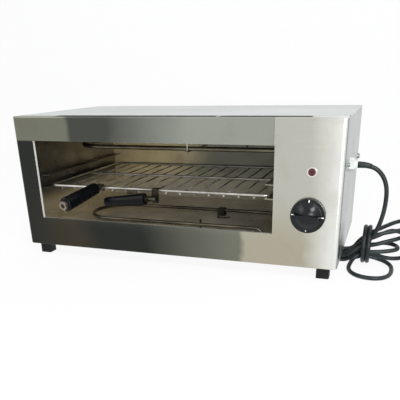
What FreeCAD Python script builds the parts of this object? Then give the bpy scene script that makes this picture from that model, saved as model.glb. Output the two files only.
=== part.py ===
"""Counter-top cheese melter: a stainless cabinet with an open heating cavity.

Units are millimetres.  +X is the cabinet's right, +Y its back, +Z up, and the feet stand on Z = 0.
Every place is given from the cabinet's left edge, front plane and underside, and the helpers
at_x, at_y and at_z turn those into the model's own frame.
"""
import FreeCAD
import Part
import Sketcher
import math
import os
import re
from FreeCAD import Placement, Rotation, Vector

DIMENSIONS = {
    # cabinet
    "cabinet_width": 600.0,
    "cabinet_depth": 320.0,
    "cabinet_height": 241.0,
    "foot_height": 21.0,
    "front_plane": -118.1,
    "sheet_thickness": 1.2,
    "fascia_return": 30.0,
    "corner_radius": 7.0,
    "edge_radius": 2.5,
    "panel_gap": 0.3,
    "pan_wall": 14.0,
    "rear_flange": 15.0,
    "lip_drop": 10.0,
    "slot_left": 510.0,
    "slot_bottom": 60.0,
    "slot_width": 4.0,
    "slot_height": 60.0,
    "slot_pitch": 10.0,
    "slot_count": 8.0,
    # opening and vent
    "opening_left": 39.0,
    "opening_width": 451.0,
    "opening_bottom": 55.0,
    "opening_height": 143.5,
    "opening_flange": 5.2,
    "vent_left": 88.0,
    "vent_length": 453.0,
    "vent_share": 0.67,
    "vent_width": 24.0,
    "vent_front": 3.2,
    "vent_bridge": 4.0,
    # cavity
    "cavity_left": 37.0,
    "cavity_right": 492.0,
    "cavity_back": 308.0,
    "cavity_floor": 40.0,
    "cavity_roof": 205.0,
    "bracket_front": 56.0,
    "bracket_length": 20.0,
    "bracket_bottom": 150.0,
    "bracket_height": 24.0,
    # runners and rack
    "runner_front": 10.0,
    "runner_length": 296.0,
    "runner_width": 18.0,
    "runner_depth": 24.8,
    "runner_clearance": 0.1,
    "rack_left": 50.0,
    "rack_width": 430.0,
    "rack_front": 22.0,
    "rack_back": 303.0,
    "rack_height": 114.0,
    "rack_corner": 12.0,
    "rail_diameter": 4.6,
    "wire_diameter": 3.0,
    "wire_gaps": 16.0,
    "wire_overhang": 3.0,
    "tab_left": 213.2,
    "tab_width": 22.8,
    "tab_drop": 7.0,
    # heating elements
    "element_clearance": 0.2,
    "upper_diameter": 8.0,
    "upper_height": 183.0,
    "upper_front": 60.0,
    "upper_bend_left": 144.0,
    "upper_bend_radius": 60.0,
    "upper_end": 512.0,
    "lower_diameter": 6.6,
    "lower_height": 50.0,
    "lower_front": 43.0,
    "lower_bend_left": 159.0,
    "lower_bend_radius": 58.5,
    "lower_end": 464.0,
    "lower_elbow": 14.0,
    "lower_tail": 24.0,
    "terminal_diameter": 4.0,
    "terminal_length": 12.0,
    "hanger_left": 322.0,
    "hanger_wire": 2.5,
    "hanger_gap": 0.3,
    "hanger_end": 4.5,
    "roof_screw_left": 433.0,
    "roof_screw_front": 48.0,
    "roof_screw_drop": 17.0,
    "roof_screw_diameter": 4.0,
    "clip_left": 346.0,
    "clip_width": 14.0,
    "clip_depth": 16.0,
    "clip_height": 14.0,
    "clip_wire_diameter": 2.0,
    "clip_hook_radius": 13.0,
    "locating_pin_left": 345.0,
    "locating_pin_front": 51.0,
    "locating_pin_height": 18.0,
    "locating_pin_diameter": 3.5,
    # controls
    "control_centre": 550.4,
    "knob_centre": 548.0,
    "knob_height": 90.4,
    "knob_diameter": 56.0,
    "knob_depth": 20.0,
    "knob_skirt": 5.5,
    "knob_gap": 1.5,
    "knob_bar": 8.0,
    "knob_scoop": 20.0,
    "knob_cap": 22.0,
    "mark_length": 4.0,
    "mark_width": 1.6,
    "mark_depth": 0.6,
    "mark_circle": 24.3,
    "shaft_diameter": 6.0,
    "shaft_clearance": 0.05,
    "shaft_reach": 18.0,
    "shaft_grip": 14.0,
    "switch_size": 40.0,
    "switch_depth": 30.0,
    "lamp_height": 159.5,
    "lens_diameter": 12.0,
    "lens_dome": 2.0,
    "bezel_diameter": 15.6,
    "bezel_depth": 1.5,
    "lamp_body_diameter": 16.0,
    "lamp_body_length": 26.0,
    "block_left": 520.0,
    "block_front": 200.0,
    "block_length": 55.0,
    "block_width": 22.0,
    "block_height": 18.0,
    "block_pitch": 13.0,
    "stud_left": 540.0,
    "stud_front": 250.0,
    # supply
    "gland_front": 90.0,
    "gland_height": 159.0,
    "gland_flats": 20.0,
    "gland_hex": 8.0,
    "gland_reach": 13.5,
    "gland_thread": 16.0,
    "locknut_thickness": 4.0,
    "cord_diameter": 7.5,
    "tie_left": 640.0,
    "tie_front": 120.0,
    "tie_radius": 31.0,
    "tie_height": 14.0,
    "tie_spacing": 7.7,
    "plug_left": 738.0,
    "plug_front": 139.0,
    "plug_diameter": 36.0,
    "plug_length": 34.0,
    "plug_neck": 18.0,
    "plug_pin_diameter": 4.8,
    "plug_pin_length": 19.0,
    "plug_pin_spacing": 19.0,
    # feet and fixings
    "foot_size": 22.0,
    "foot_radius": 3.0,
    "foot_side": 24.0,
    "foot_front": 23.0,
    "foot_rear": 290.0,
    "foot_screw": 4.0,
    "foot_recess": 10.0,
    "foot_recess_depth": 12.0,
    "side_screw_front": 66.0,
    "side_screw_height": 162.0,
    "side_screw": 4.0,
    "side_bolt_front": 308.0,
    "side_bolt_height": 143.0,
    "side_bolt": 6.0,
    "side_bolt_head": 10.0,
    "side_bolt_reach": 4.0,
    "rear_screw_side": 10.0,
    "rear_screw": 4.0,
    "rear_screw_reach": 2.0,
    # handles
    "left_pin": 162.5,
    "right_pin": 272.0,
    "pin_front": 10.0,
    "pin_diameter": 4.0,
    "pin_clearance": 0.05,
    "left_tongue": 118.0,
    "right_tongue": 101.5,
    "tongue_thickness": 3.0,
    "tongue_gap": 0.05,
    "ear_thickness": 2.5,
    "ear_size": 12.0,
    "web_front": 15.5,
    "web_thickness": 3.0,
    "sleeve_diameter": 9.0,
    "eye_diameter": 8.0,
    "neck_length": 11.0,
    "rod_diameter": 8.0,
    "rod_start": 9.5,
    "left_grip_start": 10.5,
    "left_grip_length": 81.5,
    "left_inner_diameter": 21.0,
    "left_outer_diameter": 25.2,
    "nut_diameter": 16.0,
    "nut_length": 5.0,
    "right_grip_start": 17.5,
    "right_grip_length": 82.0,
    "right_inner_diameter": 22.0,
    "right_outer_diameter": 16.4,
    "ferrule_diameter": 10.0,
    "ferrule_start": 9.5,
}

document = FreeCAD.newDocument("cheese_melter")
sheet = document.addObject("Spreadsheet::Sheet", "dims")
for row, (alias, size) in enumerate(DIMENSIONS.items(), start=1):
    sheet.set(f"A{row}", alias)
    sheet.set(f"B{row}", str(size))
    sheet.setAlias(f"B{row}", alias)
document.recompute()

subparts = []


# ---------------------------------------------------------------- sheet and placing helpers
def dim(alias):
    """One driving dimension, read from the sheet."""
    return float(sheet.get(alias))


def formula(text):
    """An expression on the sheet, from one written with the bare alias words."""
    return re.sub(r"[a-z_]+", lambda word: "dims." + word.group() if word.group() in DIMENSIONS
                  else word.group(), str(text))


def bind(item, prop, text):
    item.setExpression(prop, formula(text))


def at_x(text):
    return f"({text}) - cabinet_width / 2"


def at_y(text):
    return f"({text}) + front_plane"


def at_z(text):
    return f"({text}) + foot_height"


def place(item, x, y, z, rotation=None):
    """Bind an object's place, given from the left edge, front plane and underside."""
    if rotation is not None:
        item.Placement = Placement(Vector(0, 0, 0), rotation)
    bind(item, "Placement.Base.x", at_x(x))
    bind(item, "Placement.Base.y", at_y(y))
    bind(item, "Placement.Base.z", at_z(z))
    return item


def point(x, y, z):
    """A point of the model's frame, from numbers given the same way."""
    return Vector(x - dim("cabinet_width") / 2, y + dim("front_plane"), z + dim("foot_height"))


def subpart(node, item):
    """Name an object as one finished sub-part."""
    item.Label = node
    subparts.append(item)
    return item


ALONG_X = Rotation(Vector(0, 1, 0), 90)
ALONG_Y = Rotation(Vector(1, 0, 0), -90)
ALONG_Z = Rotation()
DOWNWARDS = Rotation(Vector(1, 0, 0), 180)


def box(name, corner, size, rotation=ALONG_Z):
    item = document.addObject("Part::Box", name)
    for prop, text in zip(("Length", "Width", "Height"), size):
        bind(item, prop, text)
    return place(item, *corner, rotation)


def cylinder(name, base, radius, length, rotation=ALONG_Z):
    item = document.addObject("Part::Cylinder", name)
    bind(item, "Radius", radius)
    bind(item, "Height", length)
    return place(item, *base, rotation)


def cone(name, base, radius_one, radius_two, length, rotation=ALONG_Z):
    item = document.addObject("Part::Cone", name)
    bind(item, "Radius1", radius_one)
    bind(item, "Radius2", radius_two)
    bind(item, "Height", length)
    return place(item, *base, rotation)


def fuse(name, items):
    item = document.addObject("Part::MultiFuse", name)
    item.Shapes = items
    return item


def cut(name, base, tools):
    """Base less its tools, checked to have lost material."""
    tool = tools[0] if len(tools) == 1 else fuse(name + "_tools", tools)
    item = document.addObject("Part::Cut", name)
    item.Base = base
    item.Tool = tool
    document.recompute()
    if not item.Shape.Volume < base.Shape.Volume - 1e-3:
        raise RuntimeError(f"{name} cuts nothing")
    return item


def group(name, items):
    """Identical separate solids that share one node."""
    item = document.addObject("Part::Compound", name)
    item.Links = items
    return item


def shaped(name, shape):
    """A sub-part whose shape comes straight from Part's functions."""
    item = document.addObject("Part::Feature", name)
    item.Shape = shape
    item.Placement = Placement()
    return item


# ---------------------------------------------------------------- PartDesign helpers
def new_body(name, x, y, z, rotation=None):
    return place(document.addObject("PartDesign::Body", name), x, y, z, rotation)


def origin_plane(body, role):
    for feature in body.Origin.OriginFeatures:
        if feature.Role == role:
            return feature
    raise RuntimeError(role)


def new_sketch(body, name, role):
    sketch = body.newObject("Sketcher::SketchObject", name)
    sketch.AttachmentSupport = (origin_plane(body, role), [""])
    sketch.MapMode = "FlatFace"
    return sketch


def add_rectangle(sketch, left, bottom, width, height):
    """A rectangle in the sketch's positive quarter, bound to the sheet on all four sizes."""
    first = sketch.GeometryCount
    corners = [Vector(1, 1, 0), Vector(3, 1, 0), Vector(3, 3, 0), Vector(1, 3, 0)]
    for index in range(4):
        sketch.addGeometry(Part.LineSegment(corners[index], corners[(index + 1) % 4]), False)
    for index in range(4):
        following = first + (index + 1) % 4
        sketch.addConstraint(Sketcher.Constraint("Coincident", first + index, 2, following, 1))
    for index in (0, 2):
        sketch.addConstraint(Sketcher.Constraint("Horizontal", first + index))
        sketch.addConstraint(Sketcher.Constraint("Vertical", first + index + 1))
    sizes = (("DistanceX", -1, 1, first, 1, left), ("DistanceY", -1, 1, first, 1, bottom),
             ("DistanceX", first, 1, first, 2, width), ("DistanceY", first + 1, 1, first + 1, 2, height))
    for kind, one, end_one, two, end_two, text in sizes:
        number = sketch.addConstraint(Sketcher.Constraint(kind, one, end_one, two, end_two, 2.0))
        sketch.setExpression(f"Constraints[{number}]", formula(text))


def add_circle(sketch, x, y, diameter):
    number = sketch.addGeometry(Part.Circle(Vector(2, 2, 0), Vector(0, 0, 1), 1.0), False)
    for kind, text in (("DistanceX", x), ("DistanceY", y)):
        if text == "0":
            sketch.addConstraint(Sketcher.Constraint("PointOnObject", number, 3,
                                                     -2 if kind == "DistanceX" else -1))
            continue
        constraint = sketch.addConstraint(Sketcher.Constraint(kind, -1, 1, number, 3, 2.0))
        sketch.setExpression(f"Constraints[{constraint}]", formula(text))
    constraint = sketch.addConstraint(Sketcher.Constraint("Diameter", number, 2.0))
    sketch.setExpression(f"Constraints[{constraint}]", formula(diameter))


def extrude(body, kind, name, sketch, length, backwards=False):
    """A Pad or Pocket of a bound length, checked to change the body's volume."""
    document.recompute()
    before = body.Shape.Volume if body.Tip is not None and not body.Shape.isNull() else 0.0
    feature = body.newObject("PartDesign::" + kind, name)
    feature.Profile = sketch
    bind(feature, "Length", length)
    feature.Reversed = backwards
    document.recompute()
    change = body.Shape.Volume - before
    if (change <= 0) if kind == "Pad" else (change >= 0):
        raise RuntimeError(f"{name} changes nothing")
    return feature


def edges_where(shape, test):
    return [f"Edge{number}" for number, edge in enumerate(shape.Edges, start=1) if test(edge)]


def round_edges(body, name, base, test, radius):
    feature = body.newObject("PartDesign::Fillet", name)
    feature.Base = (base, edges_where(base.Shape, test))
    bind(feature, "Radius", radius)
    document.recompute()
    return feature


# ---------------------------------------------------------------- routed round sections
def routed_wire(points):
    """Straight runs joined by tangent arcs, each as large as its two runs allow."""
    edges = []
    radii = []
    start = points[0]
    for before, corner, after in zip(points, points[1:], points[2:]):
        inward = (corner - before).normalize()
        outward = (after - corner).normalize()
        turn = inward.getAngle(outward)
        reach = 0.45 * min((corner - before).Length, (after - corner).Length)
        radius = reach / math.tan(turn / 2)
        radii.append(radius)
        arc_start = corner - inward * reach
        arc_end = corner + outward * reach
        towards_centre = (outward - inward).normalize()
        centre = corner + towards_centre * (radius / math.cos(turn / 2))
        middle = centre - towards_centre * radius
        edges.append(Part.LineSegment(start, arc_start).toShape())
        edges.append(Part.Arc(arc_start, middle, arc_end).toShape())
        start = arc_end
    edges.append(Part.LineSegment(start, points[-1]).toShape())
    return Part.Wire(edges), radii


def swept(wire, radius):
    """A round bar of one radius along a wire, compared with its section times its length."""
    first = wire.Edges[0]
    start = first.valueAt(first.FirstParameter)
    direction = first.tangentAt(first.FirstParameter)
    section = Part.Wire([Part.Circle(start, direction, radius).toShape()])
    shape = wire.makePipeShell([section], True, False)
    expected = math.pi * radius ** 2 * wire.Length
    if abs(shape.Volume - expected) > 0.01 * expected:
        raise RuntimeError(f"swept volume {shape.Volume:.1f}, expected {expected:.1f}")
    return shape


def routed_bar(name, points, diameter):
    wire, radii = routed_wire(points)
    print(name, "length", round(wire.Length), "radii", [round(radius) for radius in radii])
    return swept(wire, diameter / 2)


# ---------------------------------------------------------------- cabinet shell
def front_fascia():
    """A folded tray with rounded front edges, the cavity's opening and its short flange."""
    body = new_body("fascia", "0", "0", "0")
    outline = new_sketch(body, "fascia_outline", "XZ_Plane")
    add_rectangle(outline, "0", "0", "cabinet_width", "cabinet_height")
    pad = extrude(body, "Pad", "fascia_block", outline, "fascia_return", backwards=True)
    upright = round_edges(body, "fascia_uprights", pad, lambda edge: is_front_upright(edge),
                          "corner_radius")
    rounded = round_edges(body, "fascia_edges", upright, lambda edge: is_front_rim(edge), "edge_radius")
    hollow = body.newObject("PartDesign::Thickness", "fascia_sheet")
    back_faces = [f"Face{number}" for number, face in enumerate(rounded.Shape.Faces, start=1)
                  if face.CenterOfMass.y > dim("fascia_return") - 0.01]
    hollow.Base = (rounded, back_faces)
    bind(hollow, "Value", "sheet_thickness")
    hollow.Reversed = True
    document.recompute()
    flange = new_sketch(body, "flange_outline", "XZ_Plane")
    add_rectangle(flange, "opening_left - sheet_thickness", "opening_bottom - sheet_thickness",
                  "opening_width + 2 * sheet_thickness", "opening_height + 2 * sheet_thickness")
    extrude(body, "Pad", "flange_block", flange, "opening_flange", backwards=True)
    opening = new_sketch(body, "opening_outline", "XZ_Plane")
    add_rectangle(opening, "opening_left", "opening_bottom", "opening_width", "opening_height")
    extrude(body, "Pocket", "opening_cut", opening, "opening_flange + 1")
    holes = new_sketch(body, "control_holes", "XZ_Plane")
    add_circle(holes, "knob_centre", "knob_height", "shaft_diameter + 4")
    add_circle(holes, "control_centre", "lamp_height", "lens_diameter")
    extrude(body, "Pocket", "control_cut", holes, "fascia_return / 2")
    vents = new_sketch(body, "vent_outline", "XY_Plane")
    bind(vents, "AttachmentOffset.Base.z", "cabinet_height - 2 * sheet_thickness")
    add_rectangle(vents, "vent_left", "vent_front", "vent_length * vent_share", "vent_width")
    add_rectangle(vents, "vent_left + vent_length * vent_share + vent_bridge", "vent_front",
                  "vent_length * (1 - vent_share)", "vent_width")
    extrude(body, "Pocket", "vent_cut", vents, "3 * sheet_thickness", backwards=True)
    feet = new_sketch(body, "foot_holes", "XY_Plane")
    add_circle(feet, "foot_side", "foot_front", "foot_screw")
    add_circle(feet, "cabinet_width - foot_side", "foot_front", "foot_screw")
    extrude(body, "Pocket", "foot_cut", feet, "2 * sheet_thickness", backwards=True)
    return subpart("front_fascia", body)


def is_front_upright(edge):
    """An upright edge of the block's front face."""
    box_of = edge.BoundBox
    return box_of.ZLength > dim("cabinet_height") - 1 and box_of.YMax < 0.01


def is_front_rim(edge):
    """An edge of the front face's top or bottom rim."""
    box_of = edge.BoundBox
    level = box_of.ZLength < 0.01
    at_rim = box_of.ZMin < 0.01 or box_of.ZMax > dim("cabinet_height") - 0.01
    return level and at_rim and box_of.YMax < dim("corner_radius") + 0.01 and not is_side_return(edge)


def is_side_return(edge):
    box_of = edge.BoundBox
    return box_of.XLength < 0.01


def side_panel(node, x, flange_x, holes):
    """A flat side whose rear edge turns inward to take the rear cover's screws."""
    front = "fascia_return + panel_gap"
    rear = "cabinet_depth - sheet_thickness"
    panel = box(node + "_sheet", (x, front, "0"),
                ("sheet_thickness", f"{rear} - ({front})", "cabinet_height - sheet_thickness"))
    flange = box(node + "_flange", (flange_x, f"{rear} - sheet_thickness", "0"),
                 ("rear_flange", "sheet_thickness", "cabinet_height - sheet_thickness"))
    drills = [cylinder(f"{node}_{name}", (f"{x} - 1", y, z), radius, "sheet_thickness + 2", ALONG_X)
              for name, y, z, radius in holes]
    places = rear_screw_places()[:3] if flange_x == "0" else rear_screw_places()[3:]
    drills += [cylinder(f"{node}_screw_{number}", (screw_x, "cabinet_depth - 5", screw_z),
                        "rear_screw / 2", "10", ALONG_Y)
               for number, (screw_x, screw_z) in enumerate(places)]
    return subpart(node, cut(node, fuse(node + "_solid", [panel, flange]), drills))


def rear_screw_places():
    """Three screws up each side of the rear cover, left side first."""
    heights = ("30", "cabinet_height / 2", "cabinet_height - 30")
    return [(x, z) for x in ("rear_screw_side", "cabinet_width - rear_screw_side") for z in heights]


def side_panels():
    fixings = [("screw_hole", "side_screw_front", "side_screw_height", "side_screw / 2"),
               ("bolt_hole", "side_bolt_front", "side_bolt_height", "side_bolt / 2")]
    gland = [("gland_hole", "gland_front", "gland_height", "gland_thread / 2")]
    side_panel("left_side_panel", "0", "0", fixings)
    side_panel("right_side_panel", "cabinet_width - sheet_thickness",
               "cabinet_width - rear_flange", fixings + gland)


def top_cover():
    """The flat lid behind the fascia, with a stiffening lip turned down along its front edge."""
    front = "fascia_return + panel_gap"
    plate = box("top_sheet", ("0", front, "cabinet_height - sheet_thickness"),
                ("cabinet_width", f"cabinet_depth - ({front})", "sheet_thickness"))
    lip = box("top_lip", ("2 * sheet_thickness", front, "cabinet_height - sheet_thickness - lip_drop"),
              ("cabinet_width - 4 * sheet_thickness", "sheet_thickness", "lip_drop"))
    subpart("top_cover", fuse("top_cover", [plate, lip]))


def foot_places():
    """Front left, front right, rear left and rear right foot centres."""
    sides = ("foot_side", "cabinet_width - foot_side")
    return [(x, y) for y in ("foot_front", "foot_rear") for x in sides]


def base_pan():
    """The shell's floor, a shallow tray between the sides, drilled for the rear feet."""
    front = "fascia_return + panel_gap"
    length = "cabinet_width - 2 * sheet_thickness"
    depth = f"cabinet_depth - 2 * sheet_thickness - ({front})"
    outer = box("pan_block", ("sheet_thickness", front, "0"), (length, depth, "pan_wall"))
    hollow = box("pan_hollow", ("2 * sheet_thickness", f"{front} + sheet_thickness", "sheet_thickness"),
                 (f"{length} - 2 * sheet_thickness", f"{depth} - 2 * sheet_thickness", "pan_wall"))
    drills = [cylinder(f"pan_hole_{number}", (x, y, "-1"), "foot_screw / 2", "5")
              for number, (x, y) in enumerate(foot_places()[2:])]
    subpart("base_pan", cut("base_pan", outer, [hollow] + drills))


def rear_cover():
    """The rear sheet with a row of upright vent slots behind the control space."""
    body = new_body("rear", "0", "cabinet_depth - sheet_thickness", "0")
    outline = new_sketch(body, "rear_outline", "XZ_Plane")
    add_rectangle(outline, "0", "0", "cabinet_width", "cabinet_height - sheet_thickness")
    extrude(body, "Pad", "rear_sheet", outline, "sheet_thickness", backwards=True)
    drills = new_sketch(body, "rear_holes", "XZ_Plane")
    for x, z in rear_screw_places():
        add_circle(drills, x, z, "rear_screw")
    extrude(body, "Pocket", "rear_drill", drills, "sheet_thickness + 1")
    slot = new_sketch(body, "slot_outline", "XZ_Plane")
    for number in range(int(dim("slot_count"))):
        add_rectangle(slot, f"slot_left + {number} * slot_pitch", "slot_bottom", "slot_width", "slot_height")
    extrude(body, "Pocket", "slot_cut", slot, "sheet_thickness + 1")
    return subpart("rear_cover", body)


# ---------------------------------------------------------------- cavity
def cavity_sheets():
    """Five bright sheets that line the heating cavity; its front is open."""
    sheet_front = "sheet_thickness"
    depth = f"cavity_back - {sheet_front}"
    width = "cavity_right - cavity_left"
    low = "cavity_floor - sheet_thickness"
    rise = "cavity_roof - cavity_floor + 2 * sheet_thickness"
    subpart("cavity_left_wall", box("cavity_left_wall", ("cavity_left - sheet_thickness", sheet_front, low),
                                    ("sheet_thickness", depth, rise)))
    right = box("right_wall_sheet", ("cavity_right", sheet_front, low), ("sheet_thickness", depth, rise))
    leads = [cylinder(f"lead_hole_{side}", ("cavity_right - 1", y, "upper_height"),
                      "upper_diameter / 2 + element_clearance", "sheet_thickness + 2", ALONG_X)
             for side, y in element_legs("upper")]
    subpart("cavity_right_wall", cut("cavity_right_wall", right, leads))
    subpart("cavity_back_wall", box("cavity_back_wall", ("cavity_left - sheet_thickness", "cavity_back", low),
                                    (f"{width} + 2 * sheet_thickness", "sheet_thickness", rise)))
    roof = box("roof_sheet", ("cavity_left", sheet_front, "cavity_roof"), (width, depth, "sheet_thickness"))
    drill = cylinder("roof_drill", ("roof_screw_left", "roof_screw_front", "cavity_roof - 1"),
                     "roof_screw_diameter / 2", "4")
    subpart("cavity_roof", cut("cavity_roof", roof, [drill]))
    floor = box("floor_sheet", ("cavity_left", sheet_front, low), (width, depth, "sheet_thickness"))
    tails = [cylinder(f"tail_hole_{side}", ("lower_end", y, "cavity_floor - 3"),
                      "lower_diameter / 2 + element_clearance", "6") for side, y in element_legs("lower")]
    pin_hole = cylinder("pin_hole", ("locating_pin_left", "locating_pin_front", "cavity_floor - 3"),
                        "locating_pin_diameter / 2", "6")
    subpart("cavity_floor", cut("cavity_floor", floor, tails + [pin_hole]))


def element_legs(which):
    """The front and back leg of an element, as (side, Y) pairs."""
    return (("front", f"{which}_front"), ("back", f"{which}_front + 2 * {which}_bend_radius"))


def cavity_bracket(node, x, length):
    """A channel that carries the cavity from one side of the shell."""
    outer = box(node + "_outer", (x, "bracket_front", "bracket_bottom"),
                (length, "bracket_length", "bracket_height"))
    hollow = box(node + "_hollow", (f"{x} + sheet_thickness", "bracket_front - 1", "bracket_bottom - 1"),
                 (f"{length} - 2 * sheet_thickness", "bracket_length + 2",
                  "bracket_height + 1 - sheet_thickness"))
    drill = cylinder(node + "_drill", (f"{x} - 1", "side_screw_front", "side_screw_height"),
                     "side_screw / 2", f"{length} + 2", ALONG_X)
    subpart(node, cut(node, outer, [hollow, drill]))


def cavity_brackets():
    cavity_bracket("cavity_bracket_left", "sheet_thickness", "cavity_left - 2 * sheet_thickness")
    cavity_bracket("cavity_bracket_right", "cavity_right + sheet_thickness",
                   "cabinet_width - cavity_right - 2 * sheet_thickness")


def rack_runner(node, web_x, flange_x):
    """A channel on the side wall: the rack slides on its lower flange, under its upper one."""
    bottom = "rack_height - rail_diameter / 2 - runner_clearance - sheet_thickness"
    web = box(node + "_web", (web_x, "runner_front", bottom),
              ("sheet_thickness", "runner_length", "runner_depth"))
    lower = box(node + "_lower", (flange_x, "runner_front", bottom),
                ("runner_width", "runner_length", "sheet_thickness"))
    upper = box(node + "_upper", (flange_x, "runner_front", f"{bottom} + runner_depth - sheet_thickness"),
                ("runner_width", "runner_length", "sheet_thickness"))
    subpart(node, fuse(node, [web, lower, upper]))


def rack_runners():
    rack_runner("rack_runner_left", "cavity_left", "cavity_left")
    rack_runner("rack_runner_right", "cavity_right - sheet_thickness", "cavity_right - runner_width")


# ---------------------------------------------------------------- heating elements
def hairpin(which, right):
    """The front leg, left-hand bend and back leg of an element, as three edges."""
    height = dim(which + "_height")
    front = dim(which + "_front")
    left = dim(which + "_bend_left")
    radius = dim(which + "_bend_radius")
    back = front + 2 * radius
    bend = Part.Arc(point(left, front, height), point(left - radius, front + radius, height),
                    point(left, back, height)).toShape()
    front_leg = Part.LineSegment(point(right, front, height), point(left, front, height)).toShape()
    back_leg = Part.LineSegment(point(left, back, height), point(right, back, height)).toShape()
    return [front_leg, bend, back_leg]


def element_upper():
    """A hairpin tube under the roof, its two legs running out through the right wall."""
    wire = Part.Wire(hairpin("upper", dim("upper_end")))
    subpart("element_upper", shaped("element_upper", swept(wire, dim("upper_diameter") / 2)))


def element_lower():
    """A hairpin tube above the floor, its two legs turning down through it."""
    height = dim("lower_height")
    end = dim("lower_end")
    elbow = dim("lower_elbow")
    front = dim("lower_front")
    tails = []
    for y in (front, front + 2 * dim("lower_bend_radius")):
        drop = elbow * (1 - math.sqrt(0.5))
        turn = Part.Arc(point(end - elbow, y, height), point(end - drop, y, height - drop),
                        point(end, y, height - elbow)).toShape()
        tail = Part.LineSegment(point(end, y, height - elbow), point(end, y, dim("lower_tail"))).toShape()
        tails.append([turn, tail])
    edges = [tails[0][1], tails[0][0]] + hairpin("lower", end - elbow) + tails[1]
    wire = Part.Wire(Part.__sortEdges__(edges))
    subpart("element_lower", shaped("element_lower", swept(wire, dim("lower_diameter") / 2)))


def element_terminals():
    """A threaded pin with a ceramic collar at each of the elements' four ends."""
    ends = [("upper_" + side, ("upper_end", y, "upper_height"), ALONG_X) for side, y in element_legs("upper")]
    ends += [("lower_" + side, ("lower_end", y, "lower_tail"), DOWNWARDS)
             for side, y in element_legs("lower")]
    terminals = []
    for name, base, rotation in ends:
        pin = cylinder(name + "_pin", base, "terminal_diameter / 2", "terminal_length", rotation)
        collar = cylinder(name + "_collar", base, "terminal_diameter * 0.75", "terminal_length / 4", rotation)
        terminals.append(fuse(name + "_terminal", [pin, collar]))
    subpart("element_terminals", group("element_terminals", terminals))


def upper_hanger():
    """A wire stirrup from the roof that carries both legs of the upper element."""
    reach = dim("upper_diameter") / 2 + dim("hanger_gap") + dim("hanger_wire") / 2
    x = dim("hanger_left")
    front = dim("upper_front")
    back = front + 2 * dim("upper_bend_radius")
    level = dim("upper_height")
    top = dim("cavity_roof")
    low = level - reach
    slant = reach * math.sqrt(0.5)
    edges = [Part.LineSegment(point(x, front - reach, top), point(x, front - reach, level)),
             Part.Arc(point(x, front - reach, level), point(x, front - slant, level - slant),
                      point(x, front, low)),
             Part.LineSegment(point(x, front, low), point(x, back, low)),
             Part.Arc(point(x, back, low), point(x, back + slant, level - slant),
                      point(x, back + reach, level)),
             Part.LineSegment(point(x, back + reach, level), point(x, back + reach, top))]
    wire = Part.Wire([edge.toShape() for edge in edges])
    stirrup = shaped("hanger_stirrup", swept(wire, dim("hanger_wire") / 2))
    end = document.addObject("Part::Sphere", "hanger_peened_end")
    bind(end, "Radius", "hanger_end / 2")
    place(end, "hanger_left - hanger_end / 3", str(front - slant), f"{low} - hanger_end / 4")
    subpart("upper_hanger", fuse("upper_hanger", [stirrup, end]))


def roof_screw():
    """A long screw that hangs through the cavity roof."""
    stem = cylinder("roof_stem", ("roof_screw_left", "roof_screw_front", "cavity_roof - roof_screw_drop"),
                    "roof_screw_diameter / 2", "roof_screw_drop + sheet_thickness")
    head = cylinder("roof_head", ("roof_screw_left", "roof_screw_front", "cavity_roof + sheet_thickness"),
                    "roof_screw_diameter", "roof_screw_diameter / 2")
    subpart("roof_screw", fuse("roof_screw", [stem, head]))


def lower_clip():
    """A saddle under the lower element's back leg, and the wire hook that springs from it."""
    back = "lower_front + 2 * lower_bend_radius"
    block = box("clip_block", ("clip_left", f"{back} - clip_depth / 2", "cavity_floor"),
                ("clip_width", "clip_depth", "clip_height"))
    channel = cylinder("clip_channel", ("clip_left - 1", back, "lower_height"),
                       "lower_diameter / 2 + element_clearance", "clip_width + 2", ALONG_X)
    subpart("lower_clip", cut("lower_clip", block, [channel]))
    radius = dim("clip_hook_radius")
    saddle_front = dim("lower_front") + 2 * dim("lower_bend_radius") - dim("clip_depth") / 2
    middle = point(dim("clip_left") + dim("clip_wire_diameter") + radius, saddle_front - 6,
                   dim("cavity_floor") + dim("clip_wire_diameter") / 2)
    tail = Part.LineSegment(middle + Vector(-radius, 6, 0), middle + Vector(-radius, 0, 0)).toShape()
    hook = Part.Arc(middle + Vector(-radius, 0, 0), middle + Vector(0, -radius, 0),
                    middle + Vector(radius, 0, 0)).toShape()
    wire = swept(Part.Wire([tail, hook]), dim("clip_wire_diameter") / 2)
    subpart("lower_clip_wire", shaped("lower_clip_wire", wire))


def locating_pin():
    pin = cylinder("locating_pin",
                   ("locating_pin_left", "locating_pin_front", "cavity_floor - sheet_thickness"),
                   "locating_pin_diameter / 2", "locating_pin_height + sheet_thickness")
    subpart("locating_pin", pin)


# ---------------------------------------------------------------- rack and its handles
def rack_frame():
    """The rack's outer wire, bent round into a closed rectangle."""
    left = dim("rack_left")
    right = left + dim("rack_width")
    front = dim("rack_front")
    back = dim("rack_back")
    height = dim("rack_height")
    corner = dim("rack_corner")
    middle = (left + right) / 2
    cut_off = corner * (1 - math.sqrt(0.5))
    start = point(middle, front, height)
    edges = []
    corners = ((right, front, -1, 1, True), (right, back, -1, -1, False),
               (left, back, 1, -1, True), (left, front, 1, 1, False))
    for x, y, inward_x, inward_y, arrives_along_x in corners:
        on_x_rail = point(x + inward_x * corner, y, height)
        on_y_rail = point(x, y + inward_y * corner, height)
        arrive, leave = (on_x_rail, on_y_rail) if arrives_along_x else (on_y_rail, on_x_rail)
        halfway = point(x + inward_x * cut_off, y + inward_y * cut_off, height)
        edges.append(Part.LineSegment(start, arrive).toShape())
        edges.append(Part.Arc(arrive, halfway, leave).toShape())
        start = leave
    edges.append(Part.LineSegment(start, point(middle, front, height)).toShape())
    subpart("rack_frame", shaped("rack_frame", swept(Part.Wire(edges), dim("rail_diameter") / 2)))


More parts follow.
